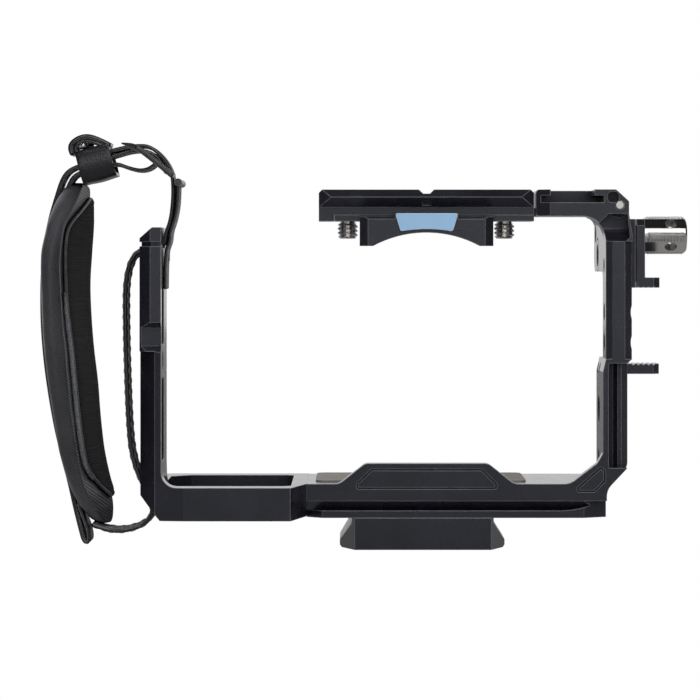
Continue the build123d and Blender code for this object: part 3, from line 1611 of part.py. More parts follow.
# out of the slot, down in a bow, round the lower corner and under the pad
arm_strap_route = (
    (grip_face_x - 0.8, strap_slot_z),
    (grip_out_x - 1.6, strap_slot_z),
    (grip_out_x - 5.6, strap_slot_z - 7.4),
    (grip_out_x - 5.6, strap_slot_z - 24.0),
    (grip_out_x - 3.9, loop_top_z + 19.0),
    *corner_route,
    (grip_out_x - 2.2, loop_bottom_z - 3.0),
    (grip_out_x - 7.2, loop_bottom_z - 3.7),
    (grip_out_x - 12.0, loop_bottom_z - 2.8),
    (grip_out_x - 14.7, loop_bottom_z - 1.6),
)
with BuildPart() as arm_strap:
    add(
        strap_ribbon(
            arm_strap_route,
            [3.0, 6.0, 60.0, 60.0, 12.0, *corner_bends, 8.0, 12.0, 8.0],
            strap_y,
            strap_width,
        )
    )

arm_strap.part.label = "arm_strap"
export_step(arm_strap.part, "parts/arm_strap.step")

# through the keeper, along the back of the pad and round the hanging loop at its end
pad_strap_route = (
    keeper_point(mouth + 8.0, 0.5 * layer_pitch - 0.6),
    keeper_point(mouth, 0.5 * layer_pitch),
    keeper_point(-mouth, 0.5 * layer_pitch),
    (keeper_x - 9.5, keeper_z - 2.8),
    pad_back(pad_top_z),
    pad_back(pad_top_z - 8.1),
    pad_back(pad_top_z - 20.5),
    pad_back(pad_wide_z - 13.9),
    pad_back(pad_bottom_z + 28.1),
    pad_back(pad_bottom_z + 10.2),
    (grip_out_x - 19.9, loop_bottom_z + 3.4),
    (grip_out_x - 18.2, loop_bottom_z - 2.6),
    (grip_out_x - 16.9, loop_bottom_z - 6.9),
    (grip_out_x - 15.1, loop_bottom_z - 6.7),
    (grip_out_x - 15.6, loop_bottom_z - 3.6),
    (grip_out_x - 16.5, loop_bottom_z - 0.4),
)
with BuildPart() as pad_strap:
    add(
        strap_ribbon(
            pad_strap_route,
            [4.0, 4.0, 6.0, 8.0, 12.0, 30.0, 60.0, 60.0, 20.0, 12.0, 12.0, 0.7, 0.7, 3.0],
            strap_y,
            strap_width,
        )
    )

pad_strap.part.label = "pad_strap"
export_step(pad_strap.part, "parts/pad_strap.step")

# from the pad's top through the keeper, and the slack loop to the right of it
slack_strap_route = (
    (keeper_x - 9.3, keeper_z - 8.6),
    (keeper_x - 8.1, keeper_z - 5.2),
    keeper_point(-mouth, -0.5 * layer_pitch),
    keeper_point(mouth, -0.5 * layer_pitch),
    (grip_face_x - 10.0, fold_bar_z + 4.4),
    (grip_face_x - 6.0, fold_bar_z + 3.6),
    (grip_face_x - 2.6, fold_bar_z + 5.0),
    (grip_face_x - 1.2, fold_bar_z + 7.2),
)
with BuildPart() as slack_strap:
    add(strap_ribbon(slack_strap_route, [4.0, 4.0, 4.0, 6.0, 4.0, 3.0], strap_y, strap_width))

slack_strap.part.label = "slack_strap"
export_step(slack_strap.part, "parts/slack_strap.step")

# free end with its pointed tip, which crosses in front of the other layers
tip_strap_route = (
    (grip_face_x - 11.8, fold_bar_z + 11.6),
    (grip_face_x - 8.7, fold_bar_z + 11.0),
    (grip_face_x - 4.5, fold_bar_z + 8.7),
    (fold_bar_x - 1.6, fold_bar_z + 1.8),
)
with BuildPart() as tip_strap:
    add(strap_ribbon(tip_strap_route, [8.0, 30.0], tip_y, strap_width))

tip_strap.part.label = "tip_strap"
export_step(tip_strap.part, "parts/tip_strap.step")

# bar on which the free end folds back
with BuildPart() as fold_bar:
    with BuildSketch(front_plane(tip_y - strap_width / 2)):
        with Locations((fold_bar_x, fold_bar_z)):
            Circle(fold_bar_radius)
    extrude(amount=-(2 * strap_width + soft_gap))

fold_bar.part.label = "fold_bar"
export_step(fold_bar.part, "parts/fold_bar.step")

# tail that hangs along the inner face of the arm
tail_strap_route = (
    (fold_bar_x - 0.5, fold_bar_z - fold_bar_radius - soft_gap),
    (grip_face_x + 4.2, fold_bar_z - 6.3),
    (grip_face_x + 3.2, fold_bar_z - 11.2),
    (grip_face_x + 2.1, strap_slot_z + 3.2),
    (grip_face_x + 2.1, strap_slot_z + 0.6),
    (on_face_x, strap_slot_z - 2.3),
    (on_face_x, strap_slot_z - 13.4),
)
with BuildPart() as tail_strap:
    add(strap_ribbon(tail_strap_route, [12.0, 8.0, 3.0, 2.0, 2.0], strap_y, strap_width))

tail_strap.part.label = "tail_strap"
export_step(tail_strap.part, "parts/tail_strap.step")

with BuildPart() as strap_rivet:
    with BuildSketch(side_plane(on_face_x + strap_thickness / 2)):
        with Locations((strap_y, rivet_z)):
            Circle(rivet_radius)
    extrude(amount=rivet_head)

strap_rivet.part.label = "strap_rivet"
export_step(strap_rivet.part, "parts/strap_rivet.step")

keeper_plane = Plane(
    origin=Vector(keeper_x, strap_y, keeper_z) - keeper_axis * (keeper_length / 2),
    x_dir=(0, 1, 0),
    z_dir=keeper_axis,
)
with BuildPart() as keeper_sleeve:
    with BuildSketch(keeper_plane):
        RectangleRounded(keeper_depth, keeper_height, 2 * keeper_wall)
        RectangleRounded(
            keeper_depth - 2 * keeper_wall,
            keeper_height - 2 * keeper_wall,
            keeper_wall,
            mode=Mode.SUBTRACT,
        )
    extrude(amount=keeper_length)

keeper_sleeve.part.label = "keeper_sleeve"
export_step(keeper_sleeve.part, "parts/keeper_sleeve.step")

buckle_up = keeper_height / 2 + soft_gap
buckle_plane = Plane(
    origin=Vector(keeper_x, strap_y, keeper_z) + keeper_axis * buckle_shift + keeper_up * buckle_up,
    x_dir=keeper_axis,
    z_dir=keeper_up,
)
with BuildPart() as buckle_ring:
    with BuildSketch(buckle_plane):
        RectangleRounded(buckle_length, keeper_depth, buckle_wire)
        RectangleRounded(
            buckle_length - 2 * buckle_wire,
            keeper_depth - 2 * buckle_wire,
            buckle_wire / 2,
            mode=Mode.SUBTRACT,
        )
    extrude(amount=buckle_wire)

buckle_ring.part.label = "buckle_ring"
export_step(buckle_ring.part, "parts/buckle_ring.step")

# loop of strap over the buckle
loop_half = keeper_length / 2 + soft_gap + strap_thickness / 2
buckle_loop_route = (
    keeper_point(-loop_half, keeper_height / 2 - 0.8),
    keeper_point(-loop_half - 1.0, keeper_height / 2 + 2.2),
    keeper_point(-2.0, keeper_height / 2 + 4.2),
    keeper_point(2.2, keeper_height / 2 + 2.4),
    keeper_point(4.6, keeper_height / 2 + 1.2),
)
with BuildPart() as buckle_loop:
    add(strap_ribbon(buckle_loop_route, [1.5, 3.0, 3.0], strap_y, strap_width))

buckle_loop.part.label = "buckle_loop"
export_step(buckle_loop.part, "parts/buckle_loop.step")
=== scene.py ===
# %% [markdown]
# # A camera cage, dressed in Blender
#
# The metal pieces of the cage come in as a fixed frame, made in CAD at their real size. This lesson adds
# what CAD leaves plain: the finish of the metal, the threads and knurls, and all the leather of the hand
# strap. Lengths are in metres, or in millimetres where a comment says so. +Z is up, and the lens side is
# towards -Y.

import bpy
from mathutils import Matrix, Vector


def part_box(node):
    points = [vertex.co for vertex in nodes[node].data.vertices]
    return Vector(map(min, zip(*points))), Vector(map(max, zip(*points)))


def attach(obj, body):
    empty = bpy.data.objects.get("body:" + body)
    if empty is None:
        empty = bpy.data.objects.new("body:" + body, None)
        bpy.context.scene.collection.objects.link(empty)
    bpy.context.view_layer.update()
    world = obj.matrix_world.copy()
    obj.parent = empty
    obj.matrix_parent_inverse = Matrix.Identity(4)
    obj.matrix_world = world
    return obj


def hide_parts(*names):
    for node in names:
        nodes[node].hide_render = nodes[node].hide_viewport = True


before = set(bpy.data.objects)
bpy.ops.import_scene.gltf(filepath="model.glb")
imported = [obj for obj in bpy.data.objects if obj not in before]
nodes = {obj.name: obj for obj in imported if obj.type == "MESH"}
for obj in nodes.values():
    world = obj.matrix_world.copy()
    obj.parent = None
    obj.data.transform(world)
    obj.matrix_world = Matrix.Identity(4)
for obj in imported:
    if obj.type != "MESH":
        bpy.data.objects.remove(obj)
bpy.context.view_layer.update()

import bmesh
import bpy
import math
from mathutils import Matrix, Vector

MM = 0.001

# %% [markdown]
# ## Hands: selecting, applying and settling
#
# Blender's operators act on whatever is selected, and the frame arrives selected. So every piece starts
# by clearing the selection, and ends at the world's origin with its place in its mesh, as the frame's
# own pieces are.

# %% Helpers for operators
def clear_selection():
    if bpy.context.object and bpy.context.object.mode != "OBJECT":
        bpy.ops.object.mode_set(mode="OBJECT")
    bpy.ops.object.select_all(action="DESELECT")


def make_active(piece):
    clear_selection()
    piece.select_set(True)
    bpy.context.view_layer.objects.active = piece
    return piece


def add_modifier(piece, name, kind, **settings):
    modifier = piece.modifiers.new(name, kind)
    for key, value in settings.items():
        setattr(modifier, key, value)
    return modifier


def apply_modifiers(piece):
    make_active(piece)
    for modifier in list(piece.modifiers):
        bpy.ops.object.modifier_apply(modifier=modifier.name)


def apply_place(piece):
    make_active(piece)
    bpy.ops.object.transform_apply(location=True, rotation=True, scale=True)


def settle(piece, name, body, material, smooth_angle=35):
    """Name a finished piece, give it its material and let it ride on its body."""
    apply_modifiers(piece)
    apply_place(piece)
    bpy.ops.object.shade_smooth_by_angle(angle=math.radians(smooth_angle))
    piece.name = piece.data.name = name
    piece.data.materials.clear()
    piece.data.materials.append(material)
    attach(piece, body)
    print(name, "faces:", len(piece.data.polygons))


# %% [markdown]
# ## Camera
#
# The cage is seen from straight ahead with a long lens, which is shifted so that uprights stay upright.

# %% Camera
view_distance = 1.0
millimetres_per_pixel = 0.30
picture_side = 700
sensor_width = 36
principal_column, principal_row = 355, 266
principal_x, principal_z = -20.4 * MM, 85.2 * MM
front_y = -25 * MM

bpy.ops.object.camera_add(location=(principal_x, front_y - view_distance, principal_z))
camera = bpy.context.object
camera.rotation_euler = (math.radians(90), 0, 0)
camera.data.sensor_width = sensor_width
camera.data.lens = sensor_width * view_distance / (picture_side * millimetres_per_pixel * MM)
camera.data.shift_x = (picture_side / 2 - principal_column) / picture_side
camera.data.shift_y = (principal_row - picture_side / 2) / picture_side
bpy.context.scene.camera = camera
bpy.context.scene.view_settings.view_transform = "Standard"
print("lens:", round(camera.data.lens, 1), "mm")

# %% [markdown]
# ## Studio
#
# The studio is white below and behind, and dim in front: that is what makes black metal read, with pale
# faces where it mirrors the white and dark ones where it mirrors the room. The Light Path node gives the
# camera and the reflections levels of their own, so the ground is white without more light on the cage.

# %% Helpers for materials
def new_material(name):
    material = bpy.data.materials.new(name)
    material.use_nodes = True
    return material, material.node_tree, material.node_tree.nodes["Principled BSDF"]


def fill_inputs(tree, node, values=None, links=None):
    """Set a node's input values, and link its inputs from sockets."""
    for key, value in (values or {}).items():
        node.inputs[key].default_value = value
    for key, socket in (links or {}).items():
        tree.links.new(socket, node.inputs[key])


def add_node(tree, kind, settings=None, values=None, links=None):
    """Add a node with its properties, input values and links."""
    node = tree.nodes.new("ShaderNode" + kind)
    for key, value in (settings or {}).items():
        setattr(node, key, value)
    fill_inputs(tree, node, values, links)
    return node


def remap(tree, value, given=(0.0, 1.0), wanted=(0.0, 1.0)):
    """Turn a given range of values into a wanted one."""
    ends = dict(zip(("From Min", "From Max", "To Min", "To Max"), (*given, *wanted)))
    return add_node(tree, "MapRange", values=ends, links={"Value": value}).outputs[0]


def combine(tree, operation, first, second):
    """Multiply two values, or take their maximum, with a Math node."""
    return add_node(tree, "Math", {"operation": operation}, links={0: first, 1: second}).outputs[0]


# %% Floor and backdrop
def add_paper(name, location, rotation, size, mirrored_level):
    """A sheet that the camera sees as pure white; mirrored_level is its glow in reflections."""
    material, tree, shader = new_material(name + "_paper")
    fill_inputs(tree, shader, {"Base Color": (0.9, 0.9, 0.9, 1), "Roughness": 0.9})
    rays = add_node(tree, "LightPath").outputs
    level = remap(tree, rays["Is Camera Ray"], wanted=(mirrored_level, 1.0))
    glow = add_node(tree, "Emission", links={"Strength": level})
    seen = combine(tree, "MAXIMUM", rays["Is Camera Ray"], rays["Is Glossy Ray"])
    mix = add_node(tree, "MixShader", links={"Fac": seen, 1: shader.outputs[0], 2: glow.outputs[0]})
    fill_inputs(tree, tree.nodes["Material Output"], links={"Surface": mix.outputs[0]})
    clear_selection()
    bpy.ops.mesh.primitive_plane_add(size=size, location=location, rotation=rotation)
    plane = bpy.context.object
    plane.name = name
    plane.data.materials.append(material)
    print(name, "side in m:", size)


upright = (math.radians(90), 0, 0)
add_paper("floor", (0, 0, 0), (0, 0, 0), 12, mirrored_level=0.28)
add_paper("backdrop", (0, 3.5, 1.5), upright, 10, mirrored_level=1.0)

# %% Room: white to the camera, dim in light and nearly black in reflections
white_level, room_level, mirrored_room_level = 1.0, 0.10, 0.008

world = bpy.data.worlds.new("studio")
bpy.context.scene.world = world
world.use_nodes = True
tree = world.node_tree
rays = add_node(tree, "LightPath").outputs
unseen_level = remap(tree, rays["Is Glossy Ray"], wanted=(room_level, mirrored_room_level))
level = remap(tree, rays["Is Camera Ray"], wanted=(0.0, white_level))
fill_inputs(tree, level.node, links={"To Min": unseen_level})
fill_inputs(tree, tree.nodes["Background"], {"Color": (1, 1, 1, 1)}, {"Strength": level})
print("room levels:", white_level, room_level, mirrored_room_level)

# %% Lamps: three that light the cage, and panels and strips that its gloss mirrors
lamp_target = (-0.02, 0, 0.06)


def add_soft_light(name, location, size, power, length=None, mirrored=True):
    """An area lamp that looks at the cage. Only a mirrored one shows in glossy surfaces."""
    clear_selection()
    bpy.ops.object.light_add(type="AREA", location=location)
    light = bpy.context.object
    light.name = name
    light.data.size = size
    if length:
        light.data.shape = "RECTANGLE"
        light.data.size_y = length
    light.data.energy = power
    light.visible_glossy = mirrored
    aim = Vector(lamp_target) - Vector(location)
    light.rotation_euler = aim.to_track_quat("-Z", "Y").to_euler()
    print(name, "watts:", power)


add_soft_light("overhead", (0.0, -0.1, 1.3), 1.4, 15, mirrored=False)
add_soft_light("left", (-1.4, -0.5, 0.6), 1.0, 8, mirrored=False)
add_soft_light("right", (1.4, -0.5, 0.6), 1.0, 8, mirrored=False)
add_soft_light("front_panel", (0.25, -1.9, 0.5), 1.3, 4.0)
add_soft_light("side_panel", (-1.5, -0.15, 0.5), 0.9, 0.6)
add_soft_light("left_strip", (-0.36, -1.15, 0.75), 0.05, 1.0, length=1.4)
add_soft_light("right_strip", (0.36, -1.15, 0.75), 0.05, 0.9, length=1.4)
add_soft_light("high_panel", (0.15, -1.15, 0.80), 0.45, 1.3)
add_soft_light("high_strip", (0.0, -1.35, 0.55), 1.1, 1.0, length=0.06)
add_soft_light("top_strip", (-0.1, -0.35, 0.9), 0.9, 0.9, length=0.06)

# %% [markdown]
# ## Shader groups that several finishes share
#
# Fine grain and rounded edges, which carry a painted highlight, appear in more than one finish. Each is a
# node group with named inputs and outputs, built once.

# %% Group helpers
FLOAT, VECTOR = "NodeSocketFloat", "NodeSocketVector"


def new_group(name, inputs, outputs):
    """A node group with (name, value) numbers going in and (name, type) sockets going out."""
    group = bpy.data.node_groups.new(name, "ShaderNodeTree")
    for label, value in inputs:
        socket = group.interface.new_socket(label, in_out="INPUT", socket_type=FLOAT)
        socket.default_value = value
    for label, kind in outputs:
        group.interface.new_socket(label, in_out="OUTPUT", socket_type=kind)
    return group, group.nodes.new("NodeGroupInput"), group.nodes.new("NodeGroupOutput")


def add_group(tree, group, values):
    return add_node(tree, "Group", {"node_tree": group}, values).outputs


def add_pattern(tree, kind, settings=None, values=None, links=None, slant=None):
    """Add a texture on Object coordinates, turned about Y where it has a slant."""
    place = add_node(tree, "TexCoord").outputs["Object"]
    if slant:
        turned = add_node(tree, "Mapping", None, {"Rotation": (0, slant, 0)}, {"Vector": place})
        place = turned.outputs[0]
    return add_node(tree, "Tex" + kind, settings, values, {"Vector": place, **(links or {})}).outputs


# %% Grain: cloudy tone and a fine height
grain_group, grain_in, grain_out = new_group(
    "grain", [("Scale", 2000.0), ("Blotches", 60.0)], [("Tone", FLOAT), ("Height", FLOAT)]
)
scales = grain_in.outputs
fine = add_pattern(
    grain_group, "Noise", None, {"Detail": 2.0, "Roughness": 0.6}, {"Scale": scales["Scale"]}
)
blotch = add_pattern(
    grain_group, "Noise", None, {"Detail": 3.0, "Roughness": 0.5}, {"Scale": scales["Blotches"]}
)
fill_inputs(grain_group, grain_out, links={"Tone": blotch["Fac"], "Height": fine["Fac"]})

# %% Edges: where a surface turns sharply, and the rounded normal there
edge_group, edge_in, edge_out = new_group(
    "rounded_edges", [("Radius", 0.0003)], [("Mask", FLOAT), ("Normal", VECTOR)]
)
bevel = add_node(edge_group, "Bevel", {"samples": 6}, links={"Radius": edge_in.outputs["Radius"]})
rounded = bevel.outputs["Normal"]
flat = add_node(edge_group, "NewGeometry").outputs["True Normal"]
likeness = add_node(
    edge_group, "VectorMath", {"operation": "DOT_PRODUCT"}, links={0: rounded, 1: flat}
)
sharpness = remap(edge_group, likeness.outputs["Value"], given=(0.999, 0.90))
fill_inputs(edge_group, edge_out, links={"Mask": sharpness, "Normal": rounded})
print("shader groups:", [group.name for group in bpy.data.node_groups])


# %% Helpers that the finishes share
def mix_colors(tree, factor, dark, light):
    """Mix two colours, each a tuple or a socket, by a factor socket."""
    node = add_node(tree, "Mix", {"data_type": "RGBA"}, links={"Factor": factor})
    for key, color in (("A", dark), ("B", light)):
        socket = next(s for s in node.inputs if s.name == key and s.type == "RGBA")
        if isinstance(color, tuple):
            socket.default_value = (*color, 1)
        else:
            tree.links.new(color, socket)
    return next(s for s in node.outputs if s.type == "RGBA")


def open_mask(tree, reach, given, only_local=True):
    """0 in a gap as narrow as the reach, and 1 on an open face."""
    settings = {"samples": 6, "only_local": only_local}
    node = add_node(tree, "AmbientOcclusion", settings, {"Distance": reach})
    return remap(tree, node.outputs["AO"], given)


def add_bump(tree, height, distance, strength=1.0, normal=None):
    """Turn a height into a bent normal."""
    links = {"Height": height}
    if normal is not None:
        links["Normal"] = normal
    values = {"Strength": strength, "Distance": distance}
    return add_node(tree, "Bump", values=values, links=links).outputs[0]


# %% [markdown]
# ## Finishes of the metal
#
# The frame is bead-blasted aluminium, anodised black: a fine grain, a satin gloss and edges that catch
# the light. The grain is too small to model, so it is a bump. The Bevel node rounds the edges by bending
# the normal near them, and a lighter colour on them is a painted highlight. Ambient Occlusion gives two
# masks: one keeps the painted highlight out of crevices, and one dims the gloss in crevices and deep
# recesses as painted shade.

# %% Metal finish
metal_blotches = 90.0
crevice_reach, recess_reach = 0.9 * MM, 6 * MM
cool_gloss = (0.86, 0.90, 1.0, 1)


def metal_finish(name, dark, light, edge_highlight, roughness, metallic, grain, grain_depth, edge=0.25, coat=0.0):
    """Grained metal with a painted highlight on its edges and its gloss dimmed in recesses as painted
    shade; grain_depth and edge, its radius, are in millimetres.
    """
    material, tree, shader = new_material(name)
    speck = add_group(tree, grain_group, {"Scale": grain, "Blotches": metal_blotches})
    edges = add_group(tree, edge_group, {"Radius": edge * MM})
    crevice = open_mask(tree, crevice_reach, (0.55, 0.95))
    recess = open_mask(tree, recess_reach, (0.45, 0.9))
    toned = mix_colors(tree, speck["Tone"], dark, light)
    # painted highlight: a lighter colour on the edges, kept out of crevices
    edge_highlight_mask = combine(tree, "MULTIPLY", edges["Mask"], crevice)
    # painted shade: the gloss is dimmed in crevices and deep recesses that Ambient Occlusion finds
    openness = combine(tree, "MULTIPLY", recess, crevice)
    fill_inputs(tree, shader, {
        "Metallic": metallic, "Specular Tint": cool_gloss, "Coat Weight": coat, "Coat Roughness": 0.1,
    }, {
        "Base Color": mix_colors(tree, edge_highlight_mask, toned, edge_highlight),
        "Specular IOR Level": remap(tree, openness, wanted=(0.08, 0.5)),
        "Roughness": remap(tree, speck["Tone"], wanted=(roughness * 0.85, roughness * 1.15)),
        "Normal": add_bump(tree, speck["Height"], grain_depth * MM, normal=edges["Normal"]),
    })
    return material


# %% Anodised metal, steel, badge and seat pad
# the third colour of each finish is the painted highlight on its edges
anodised = metal_finish(
    "black_anodised", (0.005, 0.005, 0.0075), (0.014, 0.014, 0.020), (0.17, 0.17, 0.185),
    0.27, 0.0, 2200, 0.03, edge=0.35, coat=0.25,
)
steel = metal_finish(
    "turned_steel", (0.62, 0.60, 0.58), (0.78, 0.76, 0.74), (0.85, 0.84, 0.82),
    0.2, 1.0, 1500, 0.002, edge=0.12,
)
dark_steel = metal_finish(
    "blackened_steel", (0.02, 0.02, 0.022), (0.04, 0.04, 0.043), (0.1, 0.1, 0.1),
    0.32, 0.0, 2500, 0.006,
)
badge_blue = metal_finish(
    "blue_anodised", (0.225, 0.375, 0.55), (0.26, 0.42, 0.61), (0.55, 0.74, 0.9),
    0.42, 0.1, 5200, 0.016,
)
pad_foam = metal_finish(
    "pad_rubber", (0.20, 0.18, 0.165), (0.27, 0.245, 0.225), (0.30, 0.28, 0.26),
    0.8, 0.0, 3000, 0.05,
)

finishes = {
    anodised: ("main_frame", "top_rail", "qr_plate", "grip_arm", "clamp_bar", "clamp_jaw"),
    steel: ("base_camera_screw", "strap_pin", "clamp_nut", "clamp_stud", "clamp_knob",
            "camera_screw_left", "camera_screw_right"),
    dark_steel: ("rail_screws", "rail_index_screw", "plate_screws", "grip_screws", "clamp_bar_screws",
                 "strap_rivet", "buckle_ring", "fold_bar"),
    badge_blue: ("front_badge",),
    pad_foam: ("seat_pad",),
}
for material, names in finishes.items():
    for name in names:
        nodes[name].data.materials.clear()
        nodes[name].data.materials.append(material)
    print(material.name, "on", len(names), "nodes")

# %% [markdown]
# ## Threads
#
# CAD keeps the screws plain, because a thread only shows. A thread is one ridge that winds round a core,
# so its surface is a cylinder whose radius depends on height and angle together: that is quicker to say
# as a formula than to model by hand. The screw's head and shank come from the CAD piece, cut off where
# the thread starts.

# %% Helpers for meshes
def link_mesh(name, mesh):
    """A new piece that shows a mesh."""
    piece = bpy.data.objects.new(name, mesh)
    bpy.context.collection.objects.link(piece)
    return make_active(piece)


def piece_from(name, points, faces):
    mesh = bpy.data.meshes.new(name)
    mesh.from_pydata(points, [], faces)
    return link_mesh(name, mesh)


def grid_faces(rows, row_points, closed=False):
    """Faces between rows of points; a closed grid joins each row's last point to its first."""
    faces = []
    for r in range(rows):
        for c in range(row_points if closed else row_points - 1):
            d = (c + 1) % row_points
            faces.append((r * row_points + c, r * row_points + d,
                          (r + 1) * row_points + d, (r + 1) * row_points + c))
    return faces


def spread(start, end, steps):
    """Even places from start to end."""
    return [start + (end - start) * i / steps for i in range(steps + 1)]


def edit_all(piece):
    """Open a piece in edit mode with all of it selected."""
    make_active(piece)
    bpy.ops.object.mode_set(mode="EDIT")
    bpy.ops.mesh.select_all(action="SELECT")


def face_outwards(piece):
    edit_all(piece)
    bpy.ops.mesh.normals_make_consistent(inside=False)
    bpy.ops.object.mode_set(mode="OBJECT")
    return piece


def copy_above(node, name, height):
    """A merged copy of a CAD piece, without what lies below a height."""
    piece = link_mesh(name, nodes[node].data.copy())
    edit_all(piece)
    bpy.ops.mesh.remove_doubles(threshold=0.001 * MM)
    bpy.ops.mesh.bisect(plane_co=(0, 0, height), plane_no=(0, 0, 1), clear_inner=True, use_fill=True)
    bpy.ops.object.mode_set(mode="OBJECT")
    return piece


def join_pieces(first, others):
    clear_selection()
    for piece in [first, *others]:
        piece.select_set(True)
    bpy.context.view_layer.objects.active = first
    bpy.ops.object.join()
    return first


# %% The camera screws
thread_pitch = 1.27 * MM
thread_root, thread_crest = 2.5 * MM, 3.12 * MM
thread_top_z, thread_tip_z = 98.1 * MM, 93.5 * MM
thread_columns, rows_per_turn = 40, 10
flank_slope, root_flat = 1.35, 0.15
tip_bevel = 0.2 * MM
neck_slope = 1.2
shank_overlap = 0.02 * MM


def thread_radius(z, turn):
    """Radius of a rounded V thread, which runs out at the tip's bevel and below the neck."""
    phase = (z / thread_pitch + turn / (2 * math.pi)) % 1.0
    ridge = 1 - abs(2 * phase - 1)
    flat_ridge = min(1.0, max(0.0, flank_slope * ridge - root_flat))
    radius = thread_root + (thread_crest - thread_root) * flat_ridge
    at_tip = thread_root - tip_bevel + (z - thread_tip_z)
    at_neck = thread_root + neck_slope * (thread_top_z - z)
    return min(radius, at_tip, at_neck)


def make_thread(name, x, y):
    rows = int((thread_top_z - thread_tip_z) / thread_pitch * rows_per_turn)
    points = []
    for z in spread(thread_top_z, thread_tip_z, rows):
        for c in range(thread_columns):
            turn = 2 * math.pi * c / thread_columns
            radius = thread_radius(z, turn)
            points.append((x + radius * math.cos(turn), y + radius * math.sin(turn), z))
    faces = grid_faces(rows, thread_columns, closed=True)
    faces.append(tuple(range(thread_columns)))
    faces.append(tuple(reversed(range(rows * thread_columns, (rows + 1) * thread_columns))))
    return face_outwards(piece_from(name, points, faces))


for side in ("left", "right"):
    node = "camera_screw_" + side
    low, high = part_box(node)
    x, y = (low[0] + high[0]) / 2, (low[1] + high[1]) / 2
    shank = copy_above(node, "threaded_screw_" + side, thread_top_z - shank_overlap)
    screw = join_pieces(shank, [make_thread("thread_" + side, x, y)])
    settle(screw, "threaded_screw_" + side, side + "_screw", steel, smooth_angle=30)
    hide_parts(node)

# %% [markdown]
# ## Knurls
#
# The knob has four flats and, between them, four lands. Each land has a plain band and two rows of
# slanted teeth that lean towards each other. The teeth stand on the land like a thin shell, so they are
# modelled as one: a grid bent round the knob's axis, lifted by the pattern of the teeth.

# %% Pattern of the teeth
knob_low, knob_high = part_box("clamp_knob")
knob_y = (knob_low[1] + knob_high[1]) / 2
knob_z = (knob_low[2] + knob_high[2]) / 2
land_count = 4
land_radius = 5.36 * MM
land_half_angle = math.radians(22.0)
land_start, land_end = knob_low[0] + 0.7 * MM, knob_high[0] - 0.8 * MM
land_rows, samples_per_tooth = 20, 6
shell_thickness = 0.12 * MM
tooth_pitch, tooth_height = 1.0 * MM, 0.42 * MM
tooth_lean, tooth_slope = 0.55, 1.6
plain_share = 0.30


def tooth_lift(along, share):
    """Height of the knurl: along the axis, and across the land from 0 to 1."""
    if share < plain_share:
        return 0.0
    row = (share - plain_share) / (1 - plain_share) * 2
    lean = row % 1.0 if row < 1 else 1 - row % 1.0
    phase = (along / tooth_pitch - tooth_lean * lean) % 1.0
    ridge = 1 - abs(2 * phase - 1)
    fade = min(1.0, 8 * abs(row - 1), 5 * row, 5 * (2 - row))
    return tooth_height * fade * min(1.0, tooth_slope * ridge)


print("teeth along a land:", round((land_end - land_start) / tooth_pitch, 1))


# %% Knurled lands of the knob
def make_land(name, middle_angle):
    """One land as a thin shell, whose rim sinks into the knob."""
    length = land_end - land_start
    columns = int(length / tooth_pitch * samples_per_tooth)
    points = []
    for share in spread(0.0, 1.0, land_rows):
        angle = middle_angle + land_half_angle * (1 - 2 * share)
        for along in spread(0.0, length, columns):
            edge = min(1.0, 4 * share, 4 * (1 - share), 2 * along / MM, 2 * (length - along) / MM)
            radius = land_radius + tooth_lift(along, share) - shell_thickness * (1 - edge)
            points.append((
                land_start + along, knob_y - radius * math.cos(angle), knob_z + radius * math.sin(angle),
            ))
    faces = [(a, d, c, b) for a, b, c, d in grid_faces(land_rows, columns + 1)]
    piece = piece_from(name, points, faces)
    add_modifier(piece, "shell", "SOLIDIFY", thickness=shell_thickness, offset=-1)
    apply_modifiers(piece)
    return face_outwards(piece)


lands = [make_land("land_%d" % i, math.radians(90 * i)) for i in range(land_count)]
knurl = join_pieces(lands[0], lands[1:])
settle(knurl, "knob_knurl", "knob", steel, smooth_angle=25)

# %% [markdown]
# ## Leather, suede and thread
#
# The strap is thin smooth leather, the keeper is coarser, the pad's cover has a fine slanting grain, and
# the facing is suede. They differ in colour, gloss and creases, so one function makes them all, and the
# thread too, from the grain group and a pattern of creases.

# %% Leather finish
leather_grain, leather_blotches = 2400.0, 45.0
fold_shade_color = (0.001, 0.001, 0.001)


